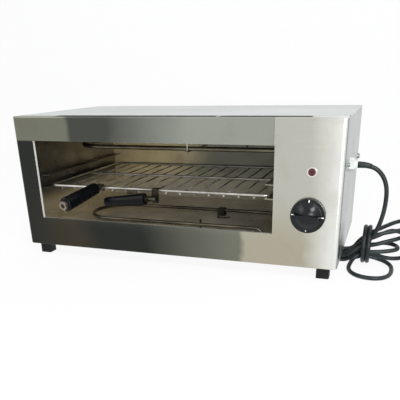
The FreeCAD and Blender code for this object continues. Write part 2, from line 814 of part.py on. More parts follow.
def rack_wires():
    """The middle rail between the side rails, and the cross wires welded under the frame."""
    middle_rail = cylinder("rack_mid_rail", ("rack_left + rail_diameter / 2", "(rack_front + rack_back) / 2",
                                             "rack_height"),
                           "rail_diameter / 2", "rack_width - rail_diameter", ALONG_X)
    subpart("rack_mid_rail", middle_rail)
    level = "rack_height - rail_diameter / 2 - wire_diameter / 2"
    wires = [cylinder(f"cross_wire_{number}",
                      (f"rack_left + rack_width * {number} / wire_gaps", "rack_front - wire_overhang", level),
                      "wire_diameter / 2", "rack_back - rack_front + 2 * wire_overhang", ALONG_Y)
             for number in range(1, int(dim("wire_gaps")))]
    subpart("rack_cross_wires", group("rack_cross_wires", wires))


def rack_tab():
    """A small plate that hangs from the front rail between the two handles."""
    tab = box("rack_tab", ("tab_left", "rack_front - sheet_thickness / 2",
                           "rack_height - rail_diameter / 2 - tab_drop"),
              ("tab_width", "sheet_thickness", "tab_drop"))
    subpart("rack_tab", tab)


def handle_bracket(side):
    """A hook over the front rail with two ears that hold the handle's upright pivot pin."""
    node = "handle_bracket_" + side
    pin_x = side + "_pin"
    tongue = side + "_tongue"
    left = f"{pin_x} - ear_size / 2"
    spread = "(tongue_thickness / 2 + tongue_gap + ear_thickness)"
    low = f"({tongue} - 9)"
    high = f"max({tongue} + {spread}; rack_height + 4)"
    sleeve = cylinder(node + "_sleeve", (left, "rack_front", "rack_height"),
                      "sleeve_diameter / 2", "ear_size", ALONG_X)
    web = box(node + "_web", (left, "web_front", low), ("ear_size", "web_thickness", f"{high} - {low}"))
    ear_bottoms = (f"{tongue} - {spread}", f"{tongue} + {spread} - ear_thickness")
    ears = [box(f"{node}_ear_{number}", (left, "pin_front - ear_size / 2", bottom),
                ("ear_size", "web_front - pin_front + ear_size / 2 + 1", "ear_thickness"))
            for number, bottom in enumerate(ear_bottoms)]
    rail = cylinder(node + "_rail", (f"{left} - 1", "rack_front", "rack_height"),
                    "rail_diameter / 2", "ear_size + 2", ALONG_X)
    open_side = box(node + "_open", (f"{left} - 1", "web_front + web_thickness + 0.4", "rack_height - 15"),
                    ("ear_size + 2", "10", "15 - rail_diameter / 2 + 0.1"))
    drill = cylinder(node + "_drill", (pin_x, "pin_front", f"{tongue} - 20"), "pin_diameter / 2", "40")
    subpart(node, cut(node, fuse(node + "_solid", [sleeve, web] + ears), [rail, open_side, drill]))
    return cylinder("handle_pin_" + side, (pin_x, "pin_front", f"{tongue} - {spread}"),
                    "pin_diameter / 2", f"2 * {spread}")


def handle_brackets():
    pins = [handle_bracket(side) for side in ("left", "right")]
    subpart("handle_pins", group("handle_pins", pins))


HANDLE_TURNS = {"left": (-101.3, 9.6), "right": (181.2, 6.3)}


def handle_frame(side):
    """A handle's rest direction as two rotations: level, and level with its droop."""
    turn, droop = HANDLE_TURNS[side]
    level = Rotation(Vector(0, 0, 1), turn)
    return level, level.multiply(Rotation(Vector(0, 1, 0), droop))


def handle_bar(side, name, start, radius, length, outer_radius=None):
    """A round bar or cone on the handle's drooping axis, starting at a distance from the pivot."""
    _, drooped = handle_frame(side)
    toward = drooped.multVec(Vector(1, 0, 0))
    base = (f"{side}_pin + ({start}) * {toward.x:.5f}", f"pin_front + ({start}) * {toward.y:.5f}",
            f"{side}_tongue + ({start}) * {toward.z:.5f}")
    rotation = drooped.multiply(ALONG_X)
    if outer_radius is None:
        return cylinder(name, base, radius, length, rotation)
    return cone(name, base, radius, outer_radius, length, rotation)


def handle_rod(side, length):
    """The flat eye that turns on the pivot pin, and the rod that carries the grip."""
    node = f"handle_{side}_rod"
    level, _ = handle_frame(side)
    across = level.multVec(Vector(0, 1, 0))
    low = f"{side}_tongue - tongue_thickness / 2"
    eye = cylinder(node + "_eye", (side + "_pin", "pin_front", low), "eye_diameter / 2", "tongue_thickness")
    neck = box(node + "_neck", (f"{side}_pin - rod_diameter / 2 * {across.x:.5f}",
                                f"pin_front - rod_diameter / 2 * {across.y:.5f}", low),
               ("neck_length", "rod_diameter", "tongue_thickness"), level)
    rod = handle_bar(side, node + "_bar", "rod_start", "rod_diameter / 2", length)
    drill = cylinder(node + "_drill", (side + "_pin", "pin_front", f"{low} - 10"),
                     "pin_diameter / 2 + pin_clearance", "30")
    subpart(node, cut(node, fuse(node + "_solid", [eye, neck, rod]), [drill]))


def rounded(name, base, circle_radius, radius):
    """Base with every circular edge of one radius rounded."""
    document.recompute()
    item = document.addObject("Part::Fillet", name)
    item.Base = base
    item.Edges = [(number, radius, radius) for number, edge in enumerate(base.Shape.Edges, start=1)
                  if isinstance(edge.Curve, Part.Circle) and abs(edge.Curve.Radius - circle_radius) < 0.01]
    document.recompute()
    if not item.Shape.Volume < base.Shape.Volume - 1e-3:
        raise RuntimeError(f"{name} rounds nothing")
    return item


def handle_left():
    """The handle that points forward: a tapered grip with a nut at its outer end."""
    handle_rod("left", "left_grip_start + left_grip_length + 1.5 - rod_start")
    cone_of = handle_bar("left", "left_cone", "left_grip_start", "left_inner_diameter / 2",
                         "left_grip_length", "left_outer_diameter / 2")
    soft = rounded("left_grip_soft", cone_of, dim("left_outer_diameter") / 2, 2.5)
    bore = handle_bar("left", "left_bore", "left_grip_start - 1", "rod_diameter / 2", "left_grip_length + 2")
    subpart("handle_left_grip", cut("handle_left_grip", soft, [bore]))
    nut = handle_bar("left", "left_nut", "left_grip_start + left_grip_length", "nut_diameter / 2",
                     "nut_length")
    hole = handle_bar("left", "left_nut_hole", "left_grip_start + left_grip_length - 1",
                      "rod_diameter / 2", "nut_length + 2")
    subpart("handle_left_nut", cut("handle_left_nut", nut, [hole]))


def handle_right():
    """The handle folded along the rack's front: a ferrule and a grip with a rounded tip."""
    handle_rod("right", "right_grip_start + right_grip_length * 0.8 - rod_start")
    cone_of = handle_bar("right", "right_cone", "right_grip_start", "right_inner_diameter / 2",
                         "right_grip_length", "right_outer_diameter / 2")
    soft = rounded("right_grip_soft", cone_of, dim("right_outer_diameter") / 2, 5.5)
    bore = handle_bar("right", "right_bore", "right_grip_start - 1", "rod_diameter / 2",
                      "1 + right_grip_length * 0.8")
    subpart("handle_right_grip", cut("handle_right_grip", soft, [bore]))
    ring = handle_bar("right", "right_ring", "ferrule_start", "ferrule_diameter / 2",
                      "right_grip_start - ferrule_start")
    hole = handle_bar("right", "right_ring_hole", "ferrule_start - 1", "rod_diameter / 2",
                      "right_grip_start - ferrule_start + 2")
    subpart("handle_right_ferrule", cut("handle_right_ferrule", ring, [hole]))


# ---------------------------------------------------------------- controls
KNOB_TILT = Rotation(Vector(0, 1, 0), 3.5)


def on_knob(across, depth, up):
    """A place on the knob's slightly turned face, as three expressions."""
    right = KNOB_TILT.multVec(Vector(1, 0, 0))
    top = KNOB_TILT.multVec(Vector(0, 0, 1))
    return (f"knob_centre + ({across}) * {right.x:.5f} + ({up}) * {top.x:.5f}", depth,
            f"knob_height + ({across}) * {right.z:.5f} + ({up}) * {top.z:.5f}")


def control_knob():
    """A round skirt and a cap with a raised bar between two scooped lobes."""
    face = "-knob_gap - knob_depth"
    skirt = cylinder("knob_skirt_disc", on_knob("0", "-knob_gap - knob_skirt", "0"),
                     "knob_diameter / 2", "knob_skirt", ALONG_Y)
    cap = cone("knob_cap_cone", on_knob("0", face, "0"), "knob_cap - 3", "knob_cap",
               "knob_depth - knob_skirt", ALONG_Y)
    scoops = [cylinder(f"knob_scoop_{name}",
                       on_knob("-knob_diameter", f"{face} - knob_scoop * 0.35",
                               f"{sign}(knob_bar / 2 + knob_scoop * 0.937)"),
                       "knob_scoop", "2 * knob_diameter", KNOB_TILT.multiply(ALONG_X))
              for name, sign in (("top", ""), ("bottom", "-"))]
    bore = cylinder("knob_bore", on_knob("0", "-knob_gap - shaft_grip", "0"),
                    "shaft_diameter / 2", "shaft_grip + 1", ALONG_Y)
    marks = knob_marks()
    recesses = knob_marks()
    knob = cut("control_knob", fuse("knob_solid", [skirt, cap]), scoops + [bore] + recesses)
    subpart("control_knob", knob)
    subpart("knob_marks", group("knob_marks", marks))


def knob_marks():
    """Four small inlays round the skirt: three dashes and, below, a square dot."""
    skirt_face = "-knob_gap - knob_skirt"
    dashes = []
    for turn in range(4):
        across = (math.cos(math.radians(90 * turn)), math.sin(math.radians(90 * turn)))
        length = "mark_width" if turn == 3 else "mark_length"
        width, height = (length, "mark_width") if turn % 2 == 0 else ("mark_width", length)
        corner = on_knob(f"mark_circle * {across[0]:.0f} - {width} / 2", skirt_face,
                         f"mark_circle * {across[1]:.0f} - {height} / 2")
        dashes.append(box(f"knob_mark_{turn}", corner, (width, "mark_depth", height), KNOB_TILT))
    return dashes


def switch():
    """The knob's shaft and the rotary switch it turns in."""
    shaft = cylinder("switch_shaft", ("knob_centre", "-knob_gap - shaft_grip", "knob_height"),
                     "shaft_diameter / 2", "knob_gap + shaft_grip + sheet_thickness + shaft_reach", ALONG_Y)
    subpart("switch_shaft", shaft)
    case = box("switch_case", ("knob_centre - switch_size / 2", "sheet_thickness",
                               "knob_height - switch_size / 2"),
               ("switch_size", "switch_depth", "switch_size"))
    bore = cylinder("switch_bore", ("knob_centre", "0", "knob_height"),
                    "shaft_diameter / 2 + shaft_clearance", "sheet_thickness + shaft_reach + 0.1", ALONG_Y)
    subpart("rotary_switch_body", cut("rotary_switch_body", case, [bore]))


def pilot_lamp():
    """A domed lens and thin bezel on the fascia, and the lamp's body behind it."""
    front = "-bezel_depth - lens_dome"
    dome = cone("lens_dome_cone", ("control_centre", front, "lamp_height"), "lens_diameter * 0.3",
                "lens_diameter / 2", "lens_dome", ALONG_Y)
    barrel = cylinder("lens_barrel", ("control_centre", "-bezel_depth", "lamp_height"),
                      "lens_diameter / 2", "bezel_depth + sheet_thickness", ALONG_Y)
    subpart("pilot_lens", fuse("pilot_lens", [dome, barrel]))
    rim = cylinder("bezel_rim", ("control_centre", "-bezel_depth", "lamp_height"),
                   "bezel_diameter / 2", "bezel_depth", ALONG_Y)
    hole = cylinder("bezel_hole", ("control_centre", "-bezel_depth - 1", "lamp_height"),
                    "lens_diameter / 2", "bezel_depth + 2", ALONG_Y)
    subpart("pilot_bezel", cut("pilot_bezel", rim, [hole]))
    body = cylinder("pilot_body", ("control_centre", "sheet_thickness", "lamp_height"),
                    "lamp_body_diameter / 2", "lamp_body_length", ALONG_Y)
    subpart("pilot_body", body)


def terminal_block():
    """The supply's screw terminals on the base pan, with the earth stud behind them."""
    block = box("block_solid", ("block_left", "block_front", "sheet_thickness"),
                ("block_length", "block_width", "block_height"))
    wells = [cylinder(f"block_well_{number}",
                      (f"block_left + block_pitch * ({number} + 0.6)", "block_front + block_width / 2",
                       "sheet_thickness + block_height / 2"), "2.5", "block_height")
             for number in range(4)]
    subpart("terminal_block", cut("terminal_block", block, wells))
    stem = cylinder("stud_stem", ("stud_left", "stud_front", "sheet_thickness"), "2.5", "14")
    nut = cylinder("stud_nut", ("stud_left", "stud_front", "sheet_thickness + 3"), "4.5", "4")
    subpart("earth_stud", fuse("earth_stud", [stem, nut]))


def internal_wires():
    """Insulated leads between the gland, the terminals, the switch, the lamp and the elements."""
    routes = (("supply_lead", ((590.5, 90, 159), (575, 99, 150), (556, 130, 118), (545, 165, 70),
                               (542, 190, 40), (540, 211, 22)), 7.0),
              ("switch_lead", ((528, 211, 20.3), (528, 195, 41), (530, 150, 70), (535, 95, 88),
                               (540, 55, 90), (542, 31.4, 90)), 2.6),
              ("lamp_lead", ((566, 211, 20.3), (568, 195, 41), (572, 150, 80), (570, 100, 115),
                             (556, 60, 138), (550.4, 27.4, 159.5)), 2.6),
              ("upper_lead", ((524.2, 60, 183), (540, 56, 181), (548, 45, 164), (548, 38, 142),
                              (546, 32, 124), (546, 22, 112.1)), 2.6))
    leads = [routed_bar(name, [point(*place_of) for place_of in route], thickness)
             for name, route, thickness in routes]
    subpart("internal_wires", shaped("internal_wires", Part.makeCompound(leads)))


# ---------------------------------------------------------------- supply cord
def hexagon(name, x, y, z, flats, length):
    """A hexagonal bar along +X."""
    item = document.addObject("Part::Prism", name)
    item.Polygon = 6
    bind(item, "Circumradius", f"{flats} / sqrt(3)")
    bind(item, "Height", length)
    return place(item, x, y, z, ALONG_X)


def cable_gland():
    """A hexagonal gland on the right side, its domed nut, and its thread through the sheet."""
    where = ("gland_front", "gland_height")
    collar = hexagon("gland_collar", "cabinet_width", *where, "gland_flats", "gland_hex")
    dome = cone("gland_dome", ("cabinet_width + gland_hex", *where), "gland_flats * 0.46", "gland_flats * 0.28",
                "gland_reach - gland_hex", ALONG_X)
    thread = cylinder("gland_thread_bar", ("cabinet_width - 7", *where), "gland_thread / 2", "7", ALONG_X)
    subpart("cable_gland", fuse("cable_gland", [collar, dome, thread]))
    nut = hexagon("locknut_hex", "cabinet_width - sheet_thickness - locknut_thickness", *where,
                  "gland_flats", "locknut_thickness")
    hole = cylinder("locknut_hole", ("cabinet_width - 10", *where), "gland_thread / 2", "20", ALONG_X)
    subpart("gland_locknut", cut("gland_locknut", nut, [hole]))


CORD_RUN = ((613.5, 90, 159), (637, 90, 158), (654, 91, 145), (663, 92, 126), (665, 93, 103),
            (663, 95, 77), (658, 98, 54), (651, 103, 36), (646, 110, 22))
CORD_RING = ((632, 112, 3), (622, 100, -6), (616, 87, -14), (614, 68, -17.2), (620, 47, -17.2),
             (633, 32, -17.2), (651, 26, -17.2), (669, 29, -17.2), (681, 42, -17.2), (686, 60, -17.2),
             (687, 80, -17.2), (685, 99, -16.5), (675, 112, -14), (660, 117, -11), (645, 114, -7))
CORD_TAIL = ((653, 129, -7), (668, 136, -14), (690, 139, -17.2), (716, 139, -10), (736.6, 139, -3.4))
# each section of the tied hank: X, then its centre's Y and Z, then its half width and half height
HANK = ((582, 134, -13.2, 22, 7.2), (600, 134, -11, 28, 9.4), (620, 129, -1, 29, 17),
        (640, 120, 14, 23.5, 23.4), (660, 126, 20, 24, 24), (684, 143, 25, 30, 25), (710, 153, 38, 24, 14))


def supply_cord():
    """The flexible cord: from the gland to a tied hank, a loop on the table, and a tail to the plug."""
    for node, route in (("power_cord", CORD_RUN), ("cord_loop", CORD_RING), ("cord_tail", CORD_TAIL)):
        points = [point(*place_of) for place_of in route]
        subpart(node, shaped(node, routed_bar(node, points, dim("cord_diameter"))))
    sections = []
    for x, y, z, half_width, half_height in HANK:
        middle = point(x, y, z)
        ring = Part.Ellipse(middle + Vector(0, half_width, 0), middle + Vector(0, 0, half_height), middle)
        sections.append(Part.Wire([ring.toShape()]))
    subpart("cord_hank", shaped("cord_hank", Part.makeLoft(sections, True, True)))
    turns = []
    for number, sign in enumerate(("-", "+")):
        turn = document.addObject("Part::Torus", f"tie_turn_{number}")
        bind(turn, "Radius1", "tie_radius")
        bind(turn, "Radius2", "cord_diameter / 2")
        turns.append(place(turn, f"tie_left {sign} tie_spacing / 2", "tie_front", "tie_height", ALONG_X))
    subpart("cord_tie", group("cord_tie", turns))


def power_plug():
    """A moulded round plug with two pins, lying on the table."""
    height = "plug_diameter / 2 - foot_height"
    base = ("plug_left", "plug_front", height)
    neck = cone("plug_neck_cone", base, "cord_diameter * 0.8", "plug_diameter * 0.3", "plug_neck", ALONG_X)
    body = cylinder("plug_body", ("plug_left + plug_neck", "plug_front", height), "plug_diameter / 2",
                    "plug_length", ALONG_X)
    softened = rounded("plug_soft", body, dim("plug_diameter") / 2, 3.0)
    subpart("power_plug", fuse("power_plug", [neck, softened]))
    pins = [cylinder(f"plug_pin_{name}", ("plug_left + plug_neck + plug_length",
                                          f"plug_front {sign} plug_pin_spacing / 2", height),
                     "plug_pin_diameter / 2", "plug_pin_length", ALONG_X)
            for name, sign in (("front", "-"), ("back", "+"))]
    subpart("plug_pins", group("plug_pins", pins))


# ---------------------------------------------------------------- feet and fixings
def feet():
    """Four rubber blocks under the corners, each held by a screw in a recess."""
    blocks = []
    for number, (x, y) in enumerate(foot_places()):
        name = f"foot_{number}"
        body = new_body(name + "_body", f"{x} - foot_size / 2", f"{y} - foot_size / 2", "-foot_height")
        outline = new_sketch(body, name + "_outline", "XY_Plane")
        add_rectangle(outline, "0", "0", "foot_size", "foot_size")
        pad = extrude(body, "Pad", name + "_block", outline, "foot_height")
        round_edges(body, name + "_rounding", pad, is_upright, "foot_radius")
        for kind, diameter, depth in (("recess", "foot_recess", "foot_recess_depth"),
                                      ("hole", "foot_screw", "foot_height + 1")):
            circle = new_sketch(body, f"{name}_{kind}", "XY_Plane")
            add_circle(circle, "foot_size / 2", "foot_size / 2", diameter)
            extrude(body, "Pocket", f"{name}_{kind}_cut", circle, depth, backwards=True)
        blocks.append(body)
    subpart("rubber_feet", group("rubber_feet", blocks))
    screws = [screw(f"foot_screw_{number}", (x, y, "foot_recess_depth - foot_height - 2.5"), "foot_screw",
                    "foot_height - foot_recess_depth + 2.5 + 6", "foot_recess * 0.8", "2.5", ALONG_Z)
              for number, (x, y) in enumerate(foot_places())]
    subpart("foot_screws", group("foot_screws", screws))


def is_upright(edge):
    box_of = edge.BoundBox
    return box_of.XLength < 0.01 and box_of.YLength < 0.01


def screw(name, base, diameter, length, head_diameter, head_height, rotation):
    """A round-headed screw from the outer face of its head inwards."""
    stem = cylinder(name + "_stem", base, f"{diameter} / 2", length, rotation)
    head = cylinder(name + "_head", base, f"{head_diameter} / 2", head_height, rotation)
    return fuse(name, [stem, head])


INTO_LEFT = Rotation(Vector(0, 1, 0), 90)
INTO_RIGHT = Rotation(Vector(0, 1, 0), -90)
INTO_BACK = Rotation(Vector(1, 0, 0), 90)


def fixings():
    """The screws and bolts that show on the sides and the rear."""
    side_screws = []
    side_bolts = []
    for name, face, sign, rotation in (("left", "0", "-", INTO_LEFT),
                                       ("right", "cabinet_width", "+", INTO_RIGHT)):
        side_screws.append(screw("side_screw_" + name,
                                 (f"{face} {sign} 2.4", "side_screw_front", "side_screw_height"),
                                 "side_screw", "10", "7", "2.4", rotation))
        side_bolts.append(screw("side_bolt_" + name,
                                (f"{face} {sign} side_bolt_reach", "side_bolt_front", "side_bolt_height"),
                                "side_bolt", "14", "side_bolt_head", "side_bolt_reach", rotation))
    subpart("side_screws", group("side_screws", side_screws))
    subpart("side_bolts", group("side_bolts", side_bolts))
    rear = [screw(f"rear_screw_{number}", (x, "cabinet_depth + rear_screw_reach", z), "rear_screw", "9",
                  "7", "rear_screw_reach", INTO_BACK)
            for number, (x, z) in enumerate(rear_screw_places())]
    subpart("rear_screws", group("rear_screws", rear))


def check_and_export():
    """Recompute, refuse anything broken, and write one STEP file per sub-part."""
    document.recompute()
    for item in document.Objects:
        if "Invalid" in item.State or "Error" in item.State:
            raise RuntimeError(f"{item.Name}: {item.State}")
    os.makedirs("parts", exist_ok=True)
    low = Vector(1e9, 1e9, 1e9)
    high = Vector(-1e9, -1e9, -1e9)
    for item in subparts:
        shape = item.Shape
        if shape.isNull() or not shape.isValid() or not shape.Solids:
            raise RuntimeError(f"{item.Label} has no valid solid")
        shape.exportStep(f"parts/{item.Label}.step")
        bounds = shape.optimalBoundingBox(False)
        low = Vector(*(min(one, two) for one, two in zip(low, (bounds.XMin, bounds.YMin, bounds.ZMin))))
        high = Vector(*(max(one, two) for one, two in zip(high, (bounds.XMax, bounds.YMax, bounds.ZMax))))
        print(f"{item.Label}: {len(shape.Solids)} solids, {shape.Volume:.0f} mm3")
    print(f"{len(subparts)} sub-parts, from {low} to {high}")


def main():
    front_fascia()
    side_panels()
    top_cover()
    base_pan()
    rear_cover()
    cavity_sheets()
    cavity_brackets()
    rack_runners()
    element_upper()
    element_lower()
    element_terminals()
    upper_hanger()
    roof_screw()
    lower_clip()
    locating_pin()
    rack_frame()
    rack_wires()
    rack_tab()
    handle_brackets()
    handle_left()
    handle_right()
    control_knob()
    switch()
    pilot_lamp()
    terminal_block()
    internal_wires()
    cable_gland()
    supply_cord()
    power_plug()
    feet()
    fixings()
    check_and_export()


main()
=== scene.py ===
"""Dresses the counter-top cheese melter: finishes, knob, supply cord, floor, lamps and camera.

Cabinet coordinates are millimetres from the cabinet's left edge, its front plane and its
underside.  The one function that turns them into the frame's metres is ``place``.
"""
from __future__ import annotations

import logging
import math
from dataclasses import dataclass
from enum import Enum
from typing import Sequence

import bmesh
import bpy
from mathutils import Matrix, Vector

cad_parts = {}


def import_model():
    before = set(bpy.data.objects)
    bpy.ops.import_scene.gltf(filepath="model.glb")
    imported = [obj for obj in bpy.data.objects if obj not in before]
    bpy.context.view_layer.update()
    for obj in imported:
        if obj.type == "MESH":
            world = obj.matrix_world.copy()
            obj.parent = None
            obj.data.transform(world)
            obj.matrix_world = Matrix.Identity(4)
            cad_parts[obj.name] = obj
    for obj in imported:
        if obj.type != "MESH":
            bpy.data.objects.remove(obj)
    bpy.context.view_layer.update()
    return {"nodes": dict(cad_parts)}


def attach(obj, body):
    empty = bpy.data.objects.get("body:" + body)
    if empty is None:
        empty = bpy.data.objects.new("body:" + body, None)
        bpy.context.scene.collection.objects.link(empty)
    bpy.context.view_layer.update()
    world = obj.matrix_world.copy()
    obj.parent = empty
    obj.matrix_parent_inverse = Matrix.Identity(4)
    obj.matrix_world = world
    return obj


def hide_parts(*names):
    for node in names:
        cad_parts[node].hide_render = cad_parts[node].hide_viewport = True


LOG = logging.getLogger("cheese_melter")

MM = 0.001
CABINET_WIDTH = 600.0
FOOT_HEIGHT = 21.0
FRONT_PLANE = -118.1

# how squarely a face looks along an axis before it starts to count, and when it counts in full
FACING = (0.7, 0.9)
# the least and most gloss that a surface's mottle gives it, as shares of its roughness
GLOSS_SPREAD = (0.85, 1.2)
# depths of relief, in metres: a sheet's slow waves, its brush lines, and any other surface's texture
WAVE_DEPTH = 0.004
GRAIN_DEPTH = 0.0004
TEXTURE_DEPTH = 0.0003

Point = tuple[float, float, float]
Tree = bpy.types.NodeTree
Socket = bpy.types.NodeSocket


def place(x: float, y: float, z: float) -> Vector:
    """Turns cabinet coordinates into the frame's metres.

    Args:
        x: Millimetres from the cabinet's left edge.
        y: Millimetres behind its front plane.
        z: Millimetres above its underside.

    Returns:
        The point in the frame, in metres.
    """
    return Vector((x - CABINET_WIDTH / 2, y + FRONT_PLANE, z + FOOT_HEIGHT)) * MM


def linear(hex_colour: str) -> tuple[float, float, float, float]:
    """Turns an sRGB hex colour into linear red, green, blue and alpha.

    Args:
        hex_colour: Six hex digits, with or without a leading #.

    Returns:
        The linear colour, with alpha 1.
    """
    digits = hex_colour.lstrip("#")
    shares = [int(digits[i:i + 2], 16) / 255 for i in (0, 2, 4)]
    red, green, blue = (s / 12.92 if s <= 0.04045 else ((s + 0.055) / 1.055) ** 2.4 for s in shares)
    return red, green, blue, 1.0


# ---- materials
class Axis(Enum):
    """How brushing stretches a sheet's pattern: its scale along X, Y and Z."""

    ALONG_X = (0.02, 1.0, 1.0)
    ALONG_Z = (1.0, 1.0, 0.02)
    EVEN = (1.0, 1.0, 1.0)


def add(tree: Tree, kind: str, settings: dict | None = None,
        links: dict | None = None) -> bpy.types.Node:
    """Adds a node with its settings and links.

    Args:
        tree: The node tree.
        kind: The node's type name.
        settings: Attributes of the node itself.
        links: For each input, by name or number, a socket to link or a value to set.

    Returns:
        The new node.
    """
    node = tree.nodes.new(kind)
    for name, value in (settings or {}).items():
        setattr(node, name, value)
    for name, value in (links or {}).items():
        if isinstance(value, Socket):
            tree.links.new(value, node.inputs[name])
        else:
            node.inputs[name].default_value = value
    return node


def ramp(tree: Tree, share: Socket, stops: Sequence[tuple[float, str]]) -> Socket:
    """Adds a colour ramp.

    Args:
        tree: The node tree.
        share: The socket that drives the ramp.
        stops: Places from 0 to 1, each with its sRGB hex colour.

    Returns:
        The ramp's colour socket.
    """
    node = add(tree, "ShaderNodeValToRGB", {}, {"Fac": share})
    elements = node.color_ramp.elements
    while len(elements) < len(stops):
        elements.new(0.5)
    for element, (position, colour) in zip(elements, stops):
        element.position = position
        element.color = linear(colour)
    return node.outputs["Color"]


def new_material(name: str) -> tuple[bpy.types.Material, Tree]:
    """Makes an empty node material.

    Args:
        name: The material's name.

    Returns:
        The material and its node tree.
    """
    material = bpy.data.materials.new(name)
    material.use_nodes = True
    material.node_tree.nodes.clear()
    return material, material.node_tree


def close(tree: Tree, shader: Socket) -> None:
    """Links the finished shader to the material's output."""
    add(tree, "ShaderNodeOutputMaterial", {}, {"Surface": shader})


def stretched(tree: Tree, scale: Sequence[float]) -> Socket:
    """Adds object coordinates that are scaled along each axis.

    Args:
        tree: The node tree.
        scale: The scale along X, Y and Z.

    Returns:
        The scaled coordinates.
    """
    where = add(tree, "ShaderNodeTexCoord")
    mapping = add(tree, "ShaderNodeMapping", {}, {"Vector": where.outputs["Object"], "Scale": tuple(scale)})
    return mapping.outputs["Vector"]


def noise(tree: Tree, vector: Socket, size_mm: float, detail: float, roughness: float) -> Socket:
    """Adds a noise pattern of a real size.

    Args:
        tree: The node tree.
        vector: Coordinates in metres.
        size_mm: The pattern's size in millimetres.
        detail: Levels of finer detail.
        roughness: How strong the finer levels are.

    Returns:
        The pattern, from 0 to 1.
    """
    node = add(tree, "ShaderNodeTexNoise", {}, {"Vector": vector, "Scale": 1.0 / (size_mm * MM),
                                                "Detail": detail, "Roughness": roughness})
    return node.outputs["Fac"]


def spread(tree: Tree, value: Socket, low: float, high: float,
           new_low: float, new_high: float, smooth: bool = False) -> Socket:
    """Adds a map from one range of values to another.

    Args:
        tree: The node tree.
        value: The socket to map.
        low: The range's start.
        high: The range's end.
        new_low: What the start becomes.
        new_high: What the end becomes.
        smooth: Whether the map eases in and out.

    Returns:
        The mapped value.
    """
    kind = "SMOOTHSTEP" if smooth else "LINEAR"
    node = add(tree, "ShaderNodeMapRange", {"interpolation_type": kind},
               {"Value": value, "From Min": low, "From Max": high, "To Min": new_low, "To Max": new_high})
    return node.outputs["Result"]


def mixed(tree: Tree, share: Socket | float, first: object, second: object, blend: str = "MIX") -> Socket:
    """Adds a mix of two colours.

    Args:
        tree: The node tree.
        share: How much of the second colour there is.
        first: The first colour, a socket or a linear colour.
        second: The second colour, a socket or a linear colour.
        blend: Blender's name for the way of mixing.

    Returns:
        The mixed colour.
    """
    node = add(tree, "ShaderNodeMix", {"data_type": "RGBA", "blend_type": blend},
               {0: share, 6: first, 7: second})
    return node.outputs[2]


def combined(tree: Tree, first: object, second: object = 0.0, operation: str = "MULTIPLY") -> Socket:
    """Adds one step of arithmetic.

    Args:
        tree: The node tree.
        first: The first value, a socket or a number.
        second: The second value, a socket or a number.
        operation: Blender's name for the step.

    Returns:
        The result.
    """
    return add(tree, "ShaderNodeMath", {"operation": operation}, {0: first, 1: second}).outputs[0]


def cabinet_axes(tree: Tree) -> tuple[Socket, ...]:
    """Adds the cabinet coordinates of the point, in millimetres.

    Args:
        tree: The node tree.

    Returns:
        X from the left edge, Y from the front plane and Z from the underside.
    """
    where = add(tree, "ShaderNodeTexCoord")
    parts = add(tree, "ShaderNodeSeparateXYZ", {}, {"Vector": where.outputs["Object"]})
    offsets = (CABINET_WIDTH / 2, -FRONT_PLANE, -FOOT_HEIGHT)
    return tuple(add(tree, "ShaderNodeMath", {"operation": "MULTIPLY_ADD"},
                     {0: parts.outputs[axis], 1: 1.0 / MM, 2: offset}).outputs[0]
                 for axis, offset in zip("XYZ", offsets))


def faces_toward(tree: Tree, axis: str, sign: float = 1.0) -> Socket:
    """Adds a value of 1 on faces that look along an axis of the frame.

    Args:
        tree: The node tree.
        axis: X, Y or Z.
        sign: 1 or -1, for the positive or negative direction.

    Returns:
        The value's socket.
    """
    shape = add(tree, "ShaderNodeNewGeometry")
    parts = add(tree, "ShaderNodeSeparateXYZ", {}, {"Vector": shape.outputs["True Normal"]})
    starts, full = FACING
    return spread(tree, parts.outputs[axis], starts * sign, full * sign, 0.0, 1.0)


